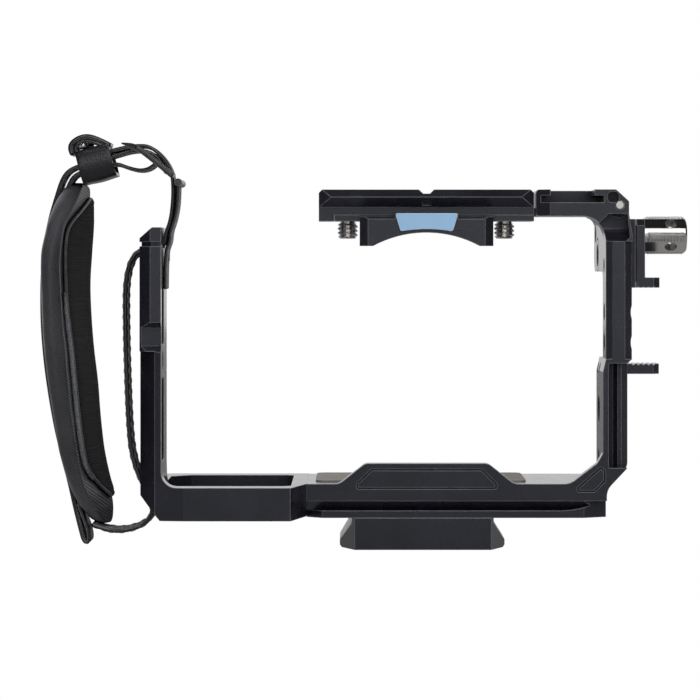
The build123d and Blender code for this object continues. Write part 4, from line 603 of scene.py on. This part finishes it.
def leather_finish(name, dark, light, roughness, crease_scale, crease_depth, slant=None, fuzz=0.0,
                   pore_depth=0.02, folds=None, gloss_level=0.5):
    """Creased leather, with painted shade in its folds where folds is given. Depths and folds, the reach
    of that painted shade, are in millimetres.
    """
    material, tree, shader = new_material(name)
    speck = add_group(tree, grain_group, {"Scale": leather_grain, "Blotches": leather_blotches})
    if slant:
        height = add_pattern(
            tree, "Wave", {"bands_direction": "X"},
            {"Scale": crease_scale, "Distortion": 1.6, "Detail": 2.0, "Detail Scale": 1.5}, slant=slant,
        )["Fac"]
    else:
        height = add_pattern(
            tree, "Voronoi", {"feature": "SMOOTH_F1"}, {"Scale": crease_scale, "Smoothness": 0.35}
        )["Distance"]
    patches = add_node(
        tree, "Math", {"operation": "MULTIPLY_ADD"}, {1: 0.6}, {0: height, 2: speck["Tone"]}
    )
    color = mix_colors(tree, remap(tree, patches.outputs[0], given=(0.35, 1.1)), dark, light)
    # painted shade: colour and gloss darkened in folds and gaps that Ambient Occlusion finds
    if folds:
        lit = open_mask(tree, folds * MM, (0.35, 0.85), only_local=False)
        color = mix_colors(tree, lit, fold_shade_color, color)
        shine = remap(tree, lit, wanted=(0.03, gloss_level))
        fill_inputs(tree, shader, links={"Specular IOR Level": shine})
    else:
        fill_inputs(tree, shader, {"Specular IOR Level": gloss_level})
    rough_ends = (roughness * 0.8, min(1.0, roughness * 1.2))
    creases = add_bump(tree, height, crease_depth * MM)
    fill_inputs(tree, shader, {"Sheen Weight": fuzz, "Sheen Roughness": 0.6}, {
        "Base Color": color,
        "Roughness": remap(tree, speck["Tone"], wanted=rough_ends),
        "Normal": add_bump(tree, speck["Height"], pore_depth * MM, strength=0.6, normal=creases),
    })
    return material


# %% Leathers of the strap and the pad
strap_leather = leather_finish(
    "strap_leather", (0.004, 0.004, 0.006), (0.012, 0.012, 0.015), 0.17, 900, 0.006,
    pore_depth=0.004, gloss_level=0.8,
)
strap_grain = leather_finish(
    "strap_grain", (0.004, 0.004, 0.006), (0.014, 0.014, 0.017), 0.5, 1200, 0.03, gloss_level=0.25
)
keeper_leather = leather_finish(
    "keeper_leather", (0.003, 0.003, 0.005), (0.009, 0.009, 0.012), 0.28, 2300, 0.06
)
# the cover gets painted shade in its folds and hollows
cover_leather = leather_finish(
    "cover_leather", (0.004, 0.004, 0.006), (0.044, 0.044, 0.050), 0.36, 520, 0.06,
    slant=math.radians(45), folds=6, gloss_level=0.35,
)
piping_leather = leather_finish(
    "piping_leather", (0.02, 0.02, 0.024), (0.06, 0.06, 0.068), 0.35, 900, 0.05
)
suede = leather_finish(
    "suede", (0.002, 0.002, 0.003), (0.12, 0.125, 0.135), 0.9, 1500, 0.15, fuzz=0.15, gloss_level=0.1
)
thread = leather_finish(
    "thread", (0.09, 0.09, 0.09), (0.21, 0.21, 0.205), 0.6, 3000, 0.05, gloss_level=0.3
)
print("materials so far:", len(bpy.data.materials))

# %% [markdown]
# ## Knit
#
# The lining is a ribbed knit. Waves for the ribs and waves for the loops along them are multiplied, and
# the same pattern gives the cloth its colour and its relief.

# %% Ribbed knit of the lining
lining_knit, tree, shader = new_material("lining_knit")
ribs = {"Scale": 374.0, "Distortion": 0.8, "Detail": 2.0, "Detail Scale": 2.0}
loops = {"Scale": 420.0, "Distortion": 1.0, "Detail": 1.0}
rib = add_pattern(tree, "Wave", {"bands_direction": "Z"}, ribs)
loop = add_pattern(tree, "Wave", {"bands_direction": "Y"}, loops)
knit = combine(tree, "MULTIPLY", rib["Fac"], loop["Fac"])
fill_inputs(tree, shader, {"Roughness": 0.85, "Sheen Weight": 0.05, "Specular IOR Level": 0.15}, {
    "Base Color": mix_colors(tree, knit, (0.0008, 0.0008, 0.0012), (0.0065, 0.0065, 0.0085)),
    "Normal": add_bump(tree, knit, 0.25 * MM),
})
print(lining_knit.name, "nodes:", len(tree.nodes))

# %% [markdown]
# ## Strap lengths
#
# Each length of strap is cut flat and then bent: a grid of the strap's length and width gets its
# thickness from Solidify and its rounded edges from Bevel, and the Curve modifier lays it along its
# route. The route is a flat curve, drawn lying down, so that it can't twist. The finished strap is then
# stood up. One side is suede and the other grained, with smooth painted edges.

# %% Cutting and laying a strap
strap_y = -29.5 * MM
strap_width, strap_thickness, strap_step = 12 * MM, 1.1 * MM, 0.6 * MM
painted_edge, suede_side, grained_side = 0, 1, 2


def draw_route(points):
    """A flat curve through (x, z) points in millimetres, drawn with z along Y."""
    clear_selection()
    bpy.ops.curve.primitive_nurbs_path_add(location=(0, 0, 0))
    route = bpy.context.object
    route.data.dimensions = "2D"
    route.data.splines.clear()
    spline = route.data.splines.new("NURBS")
    spline.points.add(len(points) - 1)
    for knot, (x, z) in zip(spline.points, points):
        knot.co = (x * MM, z * MM, 0, 1)
    spline.order_u = 3
    spline.use_endpoint_u = True
    spline.resolution_u = 24
    route.data.resolution_u = 24
    bpy.context.view_layer.update()
    return route


def bend_along(piece, route, y):
    """Bend a flat piece along a route, stand it up at y and throw the route away."""
    add_modifier(piece, "bend", "CURVE", object=route, deform_axis="POS_X")
    apply_modifiers(piece)
    piece.rotation_euler = upright
    piece.location = (0, y, 0)
    bpy.data.objects.remove(route, do_unlink=True)


def cut_strap(length, thickness, taper):
    """A flat strap along X, with its width along Z and its edges rounded."""
    clear_selection()
    steps = max(24, int(length / strap_step))
    bpy.ops.mesh.primitive_grid_add(x_subdivisions=steps, y_subdivisions=6, size=1)
    strap = bpy.context.object
    strap.scale = (length, strap_width, 1)
    strap.location = (length / 2, 0, 0)
    apply_place(strap)
    if taper:
        for vertex in strap.data.vertices:
            vertex.co.y *= taper(vertex.co.x / length)
    strap.rotation_euler = upright
    apply_place(strap)
    add_modifier(strap, "thickness", "SOLIDIFY", thickness=thickness, offset=0)
    add_modifier(strap, "rounded_rim", "BEVEL", width=thickness * 0.45, segments=3, limit_method="ANGLE")
    apply_modifiers(strap)
    return strap


def lay_strap(name, points, replaced=None, y=strap_y, thickness=strap_thickness, rough_side=-1,
              taper=None, shape=None):
    """Cut a strap to its route's length, shape it and bend it along the route.

    Its suede side is the left one along the route at rough_side 1, and the right one at -1."""
    route = draw_route(points)
    length = route.data.splines[0].calc_length()
    strap = cut_strap(length, thickness, taper)
    sides = [round(face.normal.y * rough_side) for face in strap.data.polygons]
    if shape:
        shape(strap, length)
    bend_along(strap, route, y)
    settle(strap, name, "cage", strap_leather, smooth_angle=50)
    strap.data.materials.append(suede)
    strap.data.materials.append(strap_grain)
    for face, side in zip(strap.data.polygons, sides):
        face.material_index = {0: painted_edge, 1: suede_side, -1: grained_side}[side]
    if replaced:
        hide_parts(replaced)
    print(name, "length in mm:", round(length / MM, 1))


# %% Routes of the straps, in millimetres, as (x, z)
lay_strap("strap_over_keeper", [
    (-100.9, 117.3), (-92.8, 119.5), (-86.1, 121.0), (-80.5, 120.8), (-74.8, 114.2), (-74.3, 106.6),
    (-75.1, 98.8), (-76.7, 94.9), (-76.8, 91.7), (-78.1, 91.7),
], "top_strap")
lay_strap("strap_on_pad", [
    (-76.5, 112.6), (-77.8, 116.4), (-81.4, 119.3), (-86.4, 119.6), (-92.3, 117.8), (-102.7, 115.0),
    (-106.8, 112.7), (-109.2, 105.5), (-111.5, 97.4), (-113.4, 85.0), (-113.3, 63.1), (-109.9, 39.2),
    (-105.3, 21.3), (-103.6, 13.5), (-102.1, 7.5), (-100.9, 3.0), (-99.2, 3.2), (-99.6, 6.8),
    (-101.2, 11.0), (-102.6, 15.0),
], "pad_strap", rough_side=1)
lay_strap("slack_loop", [
    (-107.0, 104.5), (-105.4, 110.3), (-102.3, 113.2), (-91.9, 116.0), (-87.5, 114.2), (-83.5, 113.4),
    (-80.1, 114.8), (-78.7, 117.0),
], "slack_strap")
lay_strap("strap_tail", [
    (-73.0, 110.6), (-73.0, 104.5), (-73.9, 99.2), (-75.3, 95.3), (-75.4, 92.3), (-76.8, 89.4),
    (-76.8, 78.3),
], "tail_strap", rough_side=1)
lay_strap("buckle_tab", [
    (-104.2, 118.1), (-105.9, 120.8), (-101.6, 124.0), (-97.1, 123.3), (-93.0, 121.0),
], "buckle_loop", thickness=1.4 * MM)
lay_strap("buckle_tab_inner", [
    (-102.6, 118.2), (-104.2, 120.4), (-101.4, 122.6), (-97.2, 122.0), (-93.6, 120.0),
])

# %% [markdown]
# ## Free end and stitched strap
#
# The strap's free end is cut to a point and skived thin, and stitches pinch the length outside the arm.
# Both are changes to the flat strap, so they are made before it is bent.

# %% The pointed free end
tip_y, tip_thickness = -41.8 * MM, 1.6 * MM
tip_width_share, tip_width_growth = 0.18, 3.2
tip_thin_share, tip_thin_growth = 0.25, 4


def pointed(share):
    """Width factor along the free end: it starts narrow, at its tip."""
    return min(1.0, tip_width_share + tip_width_growth * share)


def thin_tip(strap, length):
    """Skive the free end, so that it is thinnest at its tip."""
    for vertex in strap.data.vertices:
        vertex.co.y *= min(1.0, tip_thin_share + tip_thin_growth * vertex.co.x / length)


lay_strap("strap_tip", [(-89.3, 121.4), (-86.2, 120.8), (-82.0, 118.5), (-73.9, 111.6)], "tip_strap",
          y=tip_y, thickness=tip_thickness, taper=pointed, shape=thin_tip)

# %% The stitched strap outside the arm
stitch_pitch = 3.2 * MM
swell, pinch = 0.45, 0.12
arm_strap_route = [
    (-78.3, 91.4), (-84.6, 90.9), (-88.6, 83.6), (-88.7, 67.7), (-87.8, 38.9), (-86.5, 27.1),
    (-82.0, 17.4), (-80.2, 12.9), (-81.8, 9.3), (-86.2, 7.1), (-91.2, 6.4), (-96.0, 7.3), (-98.7, 8.5),
]


def pinch_at_stitches(strap, length):
    """Pinch the strap under each stitch, most of all near its edges, and swell it between them."""
    for vertex in strap.data.vertices:
        beat = abs(math.cos(math.pi * vertex.co.x / stitch_pitch))
        edge = min(1.0, abs(vertex.co.z) / (strap_width / 2))
        vertex.co.y *= 1.0 + edge * (swell * beat - pinch)


lay_strap("strap_outside_arm", arm_strap_route, "arm_strap", shape=pinch_at_stitches)

# %% [markdown]
# The stitches are short thick threads in two rows. Each is a stretched sphere with few faces. They are
# laid out flat and bent along the strap's own route, so that all stay on the leather.

# %% Stitches of that strap
stitch_length, stitch_radius = 2.3 * MM, 0.34 * MM
stitch_inset, stitch_depth = 1.3 * MM, 0.52
first_stitch = 2


def sew(name, points):
    """Rows of short stitches on both faces of a strap, near its two edges."""
    route = draw_route(points)
    length = route.data.splines[0].calc_length()
    size = Matrix.Diagonal((stitch_length / 2, stitch_radius, stitch_radius, 1))
    seam = bmesh.new()
    for i in range(first_stitch, int(length / stitch_pitch) - 1):
        for side in (-1, 1):
            for edge in (-1, 1):
                place = Vector((
                    (i + 0.5) * stitch_pitch, side * stitch_depth * strap_thickness,
                    edge * (strap_width / 2 - stitch_inset),
                ))
                bmesh.ops.create_uvsphere(seam, u_segments=10, v_segments=8, radius=1,
                                          matrix=Matrix.Translation(place) @ size)
    mesh = bpy.data.meshes.new(name)
    seam.to_mesh(mesh)
    seam.free()
    piece = link_mesh(name, mesh)
    bend_along(piece, route, strap_y)
    settle(piece, name, "cage", thread, smooth_angle=180)


sew("arm_strap_stitches", arm_strap_route)

# %% [markdown]
# ## Keeper
#
# The keeper is a short sleeve of grained leather that holds the layers of strap together. A cube that
# loses two ends becomes the sleeve, bulges in front and behind, and gets a wall from Solidify.

# %% Keeper
keeper_x, keeper_z = -97.3 * MM, 115.5 * MM
keeper_tilt = math.radians(-15)
keeper_length, keeper_height, keeper_depth = 10.2 * MM, 10.2 * MM, 15.4 * MM
keeper_wall, keeper_bulge, keeper_flare = 1.1 * MM, 1.5 * MM, 0.03


def place_on_keeper(piece, along, up):
    """Turn a piece to the keeper's slope and move it along and up from the keeper's middle."""
    turn = Matrix.Rotation(keeper_tilt, 4, "Y")
    move = Matrix.Translation((keeper_x, strap_y, keeper_z))
    piece.matrix_world = move @ turn @ Matrix.Translation((along, 0, up))


clear_selection()
bpy.ops.mesh.primitive_cube_add(size=1)
keeper = bpy.context.object
keeper.scale = (keeper_length, keeper_depth - keeper_wall, keeper_height - keeper_wall)
apply_place(keeper)
edit_all(keeper)
bpy.ops.mesh.select_mode(type="FACE")
bpy.ops.mesh.select_all(action="DESELECT")
mesh = bmesh.from_edit_mesh(keeper.data)
for face in mesh.faces:
    face.select_set(abs(face.normal.x) > 0.9)
bmesh.update_edit_mesh(keeper.data)
bpy.ops.mesh.delete(type="ONLY_FACE")
bpy.ops.mesh.select_all(action="SELECT")
bpy.ops.mesh.subdivide(number_cuts=7)
bpy.ops.object.mode_set(mode="OBJECT")
for vertex in keeper.data.vertices:
    up = vertex.co.z / (keeper_height / 2)
    vertex.co.z *= 1 + keeper_flare * math.cos(vertex.co.x / keeper_length * math.pi * 2)
    vertex.co.y += math.copysign(keeper_bulge * (1 - up ** 2), vertex.co.y)
add_modifier(keeper, "corner", "BEVEL", width=1.8 * MM, segments=5, limit_method="ANGLE")
add_modifier(keeper, "wall", "SOLIDIFY", thickness=keeper_wall, offset=0)
add_modifier(keeper, "rim", "BEVEL", width=0.3 * MM, segments=2, limit_method="ANGLE",
             angle_limit=math.radians(50))
apply_modifiers(keeper)
place_on_keeper(keeper, 0, 0)
settle(keeper, "keeper", "cage", keeper_leather)
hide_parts("keeper_sleeve")

# %% [markdown]
# ## Buckle
#
# The buckle is a ring of bent wire that lies on the keeper. It is a torus pressed to an oval.

# %% Buckle ring
wire_radius, ring_oval = 0.8 * MM, 0.36
ring_along, ring_up = -2.2 * MM, keeper_height / 2 + 1.1 * MM

clear_selection()
bpy.ops.mesh.primitive_torus_add(
    major_segments=48, minor_segments=12, major_radius=keeper_depth / 2 - wire_radius,
    minor_radius=wire_radius,
)
ring = bpy.context.object
for vertex in ring.data.vertices:
    vertex.co.x *= ring_oval
place_on_keeper(ring, ring_along, ring_up)
settle(ring, "buckle_wire", "cage", steel, smooth_angle=60)
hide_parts("buckle_ring")

# %% [markdown]
# ## The hand pad
#
# On the real strap the pad is a leather cover sewn over foam: nearly flat on its outer side, where the
# strap lies on it, with a fat rolled edge in front and a ribbed lining that faces the hand. It could be
# sculpted, but stations describe its changing outline well. So it is lofted from a few of them, and a
# cloth simulation blows up the foam between the pinned seams.

# %% Stations of the pad, in millimetres
pad_y = -30 * MM
pad_top, pad_bottom = 110.0, 8.6
# height, x of the strap's inner face, x of the front roll's inner side, x of the lining's back edge,
# and half width
pad_stations = [
    (110.0, -104.4, -101.4, -99.6, 3.0),
    (108.6, -106.6, -101.0, -98.8, 8.0),
    (104.9, -108.7, -101.9, -99.1, 13.0),
    (101.3, -109.9, -103.4, -99.2, 17.0),
    (97.4, -111.0, -105.2, -99.3, 20.5),
    (90.0, -112.3, -106.3, -100.0, 23.6),
    (80.0, -112.8, -106.4, -100.7, 25.0),
    (70.0, -113.0, -105.9, -100.4, 25.0),
    (60.0, -112.3, -105.0, -99.6, 24.6),
    (50.0, -111.2, -104.2, -98.3, 23.4),
    (40.0, -109.7, -103.2, -97.4, 21.6),
    (30.0, -108.2, -101.9, -96.1, 19.2),
    (21.3, -105.8, -100.0, -94.1, 16.0),
    (14.0, -102.6, -97.4, -91.9, 11.6),
    (10.0, -99.3, -95.6, -91.5, 7.0),
    (8.6, -97.2, -94.6, -91.7, 3.5),
]


def pad_at(height):
    """Strap face, roll, lining edge and half width at a height, on smooth curves."""
    last = len(pad_stations) - 2
    i = next((k for k in range(last + 1) if height >= pad_stations[k + 1][0]), last)
    span = pad_stations[i][0] - pad_stations[i + 1][0]
    t = min(1.0, max(0.0, (pad_stations[i][0] - height) / span))
    values = []
    for column in range(1, 5):
        a, b, c, d = (pad_stations[min(max(k, 0), last + 1)][column] for k in range(i - 1, i + 3))
        bend = (2 * a - 5 * b + 4 * c - d) * t ** 2 + (3 * b - a - 3 * c + d) * t ** 3
        values.append(0.5 * (2 * b + (c - a) * t + bend))
    return values


def half_width(height):
    return pad_at(height)[3]


def pad_point(x, y, height):
    """A point in metres from millimetres, with y measured from the middle of the pad."""
    return Vector((x, pad_y / MM + y, height)) * MM


def place_on_pad(point):
    """Height of a point in millimetres, and its place across the pad from -1 to 1."""
    height = point.z / MM
    return height, (point.y - pad_y) / MM / half_width(height)


print("pad height in mm:", pad_top - pad_bottom, "stations:", len(pad_stations))

# %% Faces of the pad's section, in millimetres
back_roll = 1.7
back_room, back_power = 2.2 * back_roll, 2.2
front_sag, sag_lost_above, sag_fades = 1.7, 1.4, (70, 90)
valley_across, rise_across, rise_power = -0.66, 1.6, 0.9
valley_depth, valley_share = 1.3, 0.2
lining_room = 1.1


def ease(value, start, end):
    """0 before start, 1 after end, smooth between them."""
    share = min(1.0, max(0.0, (value - start) / (end - start)))
    return share * share * (3 - 2 * share)


def outer_face(height, across):
    """x of the cover's outer face; across runs from -1 at the front edge to 1 at the back edge."""
    strap_face, _, edge_x, _ = pad_at(height)
    if across < 0:
        return strap_face + (front_sag - sag_lost_above * ease(height, *sag_fades)) * across ** 2
    return strap_face + (edge_x - back_room - strap_face) * across ** back_power


def inner_face(height, across):
    """x of the cover's inner face under the lining: it rises from a valley beside the roll."""
    strap_face, roll_x, edge_x, _ = pad_at(height)
    rise = min(1.0, max(0.0, (across - valley_across) / rise_across)) ** rise_power
    valley = roll_x - min(valley_depth, valley_share * (roll_x - strap_face))
    return valley + (edge_x - lining_room - valley) * rise


print("thickness halfway up in mm:", round(inner_face(60, 0) - outer_face(60, 0), 1))

# %% Cover: one closed ring for each height
cover_rings, cover_steps = 84, 22
roll_steps, back_steps = 9, 6
least_roll, roll_across = 0.8, -0.88
roll_turns, roll_foot = 1.15, 1.25


def cover_ring(height):
    """Closed section: outer face, front roll, inner face and back roll."""
    _, roll_x, _, half = pad_at(height)
    roll_radius = max(least_roll, (roll_x - outer_face(height, roll_across)) / 2)
    roll_y = -half + roll_radius
    front, back = roll_y / half, 1 - back_roll / half
    ring = [(outer_face(height, across), across * half) for across in spread(back, front, cover_steps)]
    center_x = outer_face(height, front) + roll_radius
    for i in range(1, roll_steps + 1):
        turn = math.pi * (0.5 - roll_turns * i / roll_steps)
        ring.append((center_x - roll_radius * math.sin(turn), roll_y - roll_radius * math.cos(turn)))
    start = front + roll_foot * roll_radius / half
    for across in spread(start, back, cover_steps - 2):
        ring.append((inner_face(height, across), across * half))
    middle_x = (outer_face(height, back) + inner_face(height, back)) / 2
    edge_radius = (inner_face(height, back) - outer_face(height, back)) / 2
    for i in range(1, back_steps):
        turn = math.pi * (0.5 - i / back_steps)
        ring.append((middle_x + edge_radius * math.sin(turn), back * half + back_roll * math.cos(turn)))
    return [pad_point(x, y, height) for x, y in ring]


def loft_rings(name, rings):
    """A closed mesh from rings of points, with its two ends drawn together."""
    count = len(rings[0])
    points = [point for ring in rings for point in ring]
    faces = grid_faces(len(rings) - 1, count, closed=True)
    for ring in (0, len(rings) - 1):
        points.append(sum(rings[ring], Vector()) / count)
        hub = len(points) - 1
        for i in range(count):
            faces.append((ring * count + i, ring * count + (i + 1) % count, hub))
    return face_outwards(piece_from(name, points, faces))


def even_heights(count, low, high):
    """Heights from high to low, closer together near both ends."""
    shares = [0.5 - 0.5 * math.cos(math.pi * i / (count - 1)) for i in range(count)]
    blend = [0.45 * share + 0.55 * i / (count - 1) for i, share in enumerate(shares)]
    return [high + (low - high) * share for share in blend]


cover = loft_rings("pad_cover", [cover_ring(h) for h in even_heights(cover_rings, pad_bottom, pad_top)])
print("cover faces:", len(cover.data.polygons))

# %% Foam: cloth blown up between pinned seams
foam_frames = 20
bed_margin, strap_bed_half, lining_bed_front = 0.4, 6.6 * MM, -0.6
foam_cloth = {
    "quality": 6, "mass": 0.2, "tension_stiffness": 20, "compression_stiffness": 8,
    "bending_stiffness": 0.4, "use_pressure": True, "vertex_group_mass": "seams",
}


def blow_up(piece, pinned, pressure, most):
    """Swell a closed mesh like foam; pinned(point) holds its seams, most caps each step."""
    rest = [vertex.co.copy() for vertex in piece.data.vertices]
    seams = piece.vertex_groups.new(name="seams")
    for vertex in piece.data.vertices:
        if pinned(vertex.co):
            seams.add([vertex.index], 1.0, "REPLACE")
    cloth = add_modifier(piece, "foam", "CLOTH")
    for key, value in foam_cloth.items():
        setattr(cloth.settings, key, value)
    cloth.settings.uniform_pressure_force = pressure
    cloth.settings.effector_weights.gravity = 0
    cloth.collision_settings.use_collision = False
    cloth.point_cache.frame_start = 1
    cloth.point_cache.frame_end = foam_frames
    for frame_number in range(1, foam_frames + 1):
        bpy.context.scene.frame_set(frame_number)
    swollen = piece.evaluated_get(bpy.context.evaluated_depsgraph_get()).data
    moved = [vertex.co.copy() for vertex in swollen.vertices]
    piece.modifiers.remove(cloth)
    bpy.context.scene.frame_set(1)
    furthest = 0.0
    for vertex, start, end in zip(piece.data.vertices, rest, moved):
        step = end - start
        if step.length > most:
            step = step.normalized() * most
        furthest = max(furthest, step.length)
        vertex.co = start + step
    print(piece.name, "swelled by up to", round(furthest / MM, 2), "mm")


def on_cover_seam(point):
    """The beds of the strap and of the lining are held."""
    height, across = place_on_pad(point)
    outside = point.x / MM < outer_face(height, across) + bed_margin
    inside = point.x / MM > inner_face(height, across) - bed_margin
    return (outside and abs(point.y - strap_y) < strap_bed_half) or (inside and across > lining_bed_front)


def add_creases(piece, size, depth):
    """Shallow folds from a cloud of noise, pressed along the normals."""
    texture = bpy.data.textures.new(piece.name + "_creases", "CLOUDS")
    texture.noise_scale = size
    texture.noise_depth = 2
    add_modifier(piece, "creases", "DISPLACE", texture=texture, texture_coords="LOCAL", strength=depth,
                 mid_level=0.5)
    apply_modifiers(piece)
    bpy.data.textures.remove(texture)


blow_up(cover, on_cover_seam, pressure=4.0, most=0.9 * MM)
add_creases(cover, size=7 * MM, depth=0.35 * MM)
add_modifier(cover, "smooth", "SUBSURF", levels=1, render_levels=1)
settle(cover, "pad_cover", "cage", cover_leather, smooth_angle=180)
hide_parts("hand_pad_cover")

# %% [markdown]
# ## Lining
#
# The lining is a crowned panel of knit on the cover's inner face. It is lofted and blown up like the
# cover, and held at its sewn border.

# %% Lining, in millimetres
lining_top, lining_bottom = 105.4, 16.2
lining_rings, lining_steps = 90, 26
lining_crown, crown_power = 1.1, 6
lining_front, front_shift = -0.56, 0.30
lining_middle, lining_back = 0.66, 0.96
front_rounding, back_rounding = 11, 3
lining_sink, lining_rise, border_share = 0.3, 0.15, 0.05


def lining_span(height):
    """Front and back ends of the lining across the pad, drawn in at its top and bottom."""
    share = (lining_top - height) / (lining_top - lining_bottom)
    room = max(0.0, min(lining_top - height, height - lining_bottom))
    front_ends = 1 - (1 - min(1.0, room / front_rounding)) ** 2
    back_ends = math.sqrt(1 - (1 - min(1.0, room / back_rounding)) ** 2)
    front = lining_front + front_shift * min(1.0, 2 * share)
    return (lining_middle + (front - lining_middle) * front_ends,
            lining_middle + (lining_back - lining_middle) * back_ends)


def lining_ring(height):
    """Closed section: the sunk underside, and the crown on the way back."""
    half = half_width(height)
    front, back = lining_span(height)
    ring = []
    for across in spread(front, back, lining_steps):
        ring.append((inner_face(height, across) - lining_sink, across * half))
    for i in range(lining_steps + 1):
        share = 1 - i / lining_steps
        across = front + (back - front) * share
        edge = min(1.0, 2 * share, 2 * (1 - share))
        crown = lining_crown * math.sqrt(max(0.0, 1 - (1 - edge) ** crown_power))
        ring.append((inner_face(height, across) + lining_rise + crown, across * half))
    return [pad_point(x, y, height) for x, y in ring]


def on_lining_seam(point):
    """The lining is held at its sewn border and all over its bed."""
    height, across = place_on_pad(point)
    front, back = lining_span(height)
    near_border = min(across - front, back - across) < border_share
    return near_border or point.x / MM < inner_face(height, across) + lining_sink


lining_heights = even_heights(lining_rings, lining_bottom, lining_top)
lining = loft_rings("pad_lining", [lining_ring(h) for h in lining_heights])
blow_up(lining, on_lining_seam, pressure=3.0, most=0.5 * MM)
add_modifier(lining, "smooth", "SUBSURF", levels=1, render_levels=1)
settle(lining, "pad_lining", "cage", lining_knit, smooth_angle=180)
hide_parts("hand_pad_lining")

# %% [markdown]
# ## Binding and facing
#
# A narrow binding covers the lining's sewn edge, and a strip of suede faces the cover beside it. Both
# follow the pad's curved inner face, so each is a ribbon of points on that face, thickened and smoothed.

# %% Ribbons on the pad, in millimetres
ribbon_columns, ribbon_lift, ribbon_thickness, end_margin = 4, 0.2, 0.8, 0.5


def ribbon_along(name, places, width_of, rise, material):
    """A ribbon sewn along (height, across) places; width_of(share) is its width, and rise its crown."""
    line = [Vector((across * half_width(height), height)) for height, across in places]
    points = []
    for i, (y, z) in enumerate(line):
        run = (line[min(i + 1, len(line) - 1)] - line[max(i - 1, 0)]).normalized()
        for k in range(ribbon_columns + 1):
            side = k / ribbon_columns - 0.5
            step = side * width_of(i / (len(line) - 1))
            place_y, height = y - run.y * step, z + run.x * step
            height = min(pad_top - end_margin, max(pad_bottom + end_margin, height))
            lift = rise * (1 - (2 * side) ** 4)
            x = inner_face(height, place_y / half_width(height)) + ribbon_lift + lift
            points.append(pad_point(x, place_y, height))
    piece = piece_from(name, points, grid_faces(len(line) - 1, ribbon_columns + 1))
    add_modifier(piece, "thickness", "SOLIDIFY", thickness=ribbon_thickness * MM, offset=0)
    add_modifier(piece, "smooth", "SUBSURF", levels=1, render_levels=1)
    apply_modifiers(piece)
    settle(face_outwards(piece), name, "cage", material, smooth_angle=180)


# %% Binding round the lining
binding_width, binding_rise, binding_gap = 0.6, 0.6, 0.01
binding_top, binding_bottom = 103.6, 17.5

ribbon_heights = even_heights(110, lining_bottom + 0.05, lining_top - 0.05)
front_edge = [(h, lining_span(h)[0] - binding_gap) for h in ribbon_heights]
back_edge = [(h, lining_span(h)[1] + binding_gap) for h in reversed(ribbon_heights)]
top_edge = [place for place in back_edge if place[0] > binding_top]
bottom_edge = [place for place in back_edge if place[0] < binding_bottom]
ribbon_along("lining_binding", top_edge + front_edge + bottom_edge, lambda share: binding_width,
             binding_rise, piping_leather)

# %% Suede facing beside the lining
facing_width, facing_end, facing_rise = 2.0, 0.2, 0.5
facing_top, facing_bottom = 78, 21
facing_heights = [h for h in ribbon_heights if facing_bottom < h < facing_top]
facing_line = [(h, lining_span(h)[0] - 0.07 - 0.03 * (88 - h) / 60) for h in facing_heights]


def facing_taper(share):
    """Width of the facing, which narrows towards both ends."""
    return facing_end + facing_width * min(1.0, 7 * share, 7 * (1 - share))


ribbon_along("suede_facing", facing_line, facing_taper, facing_rise, suede)
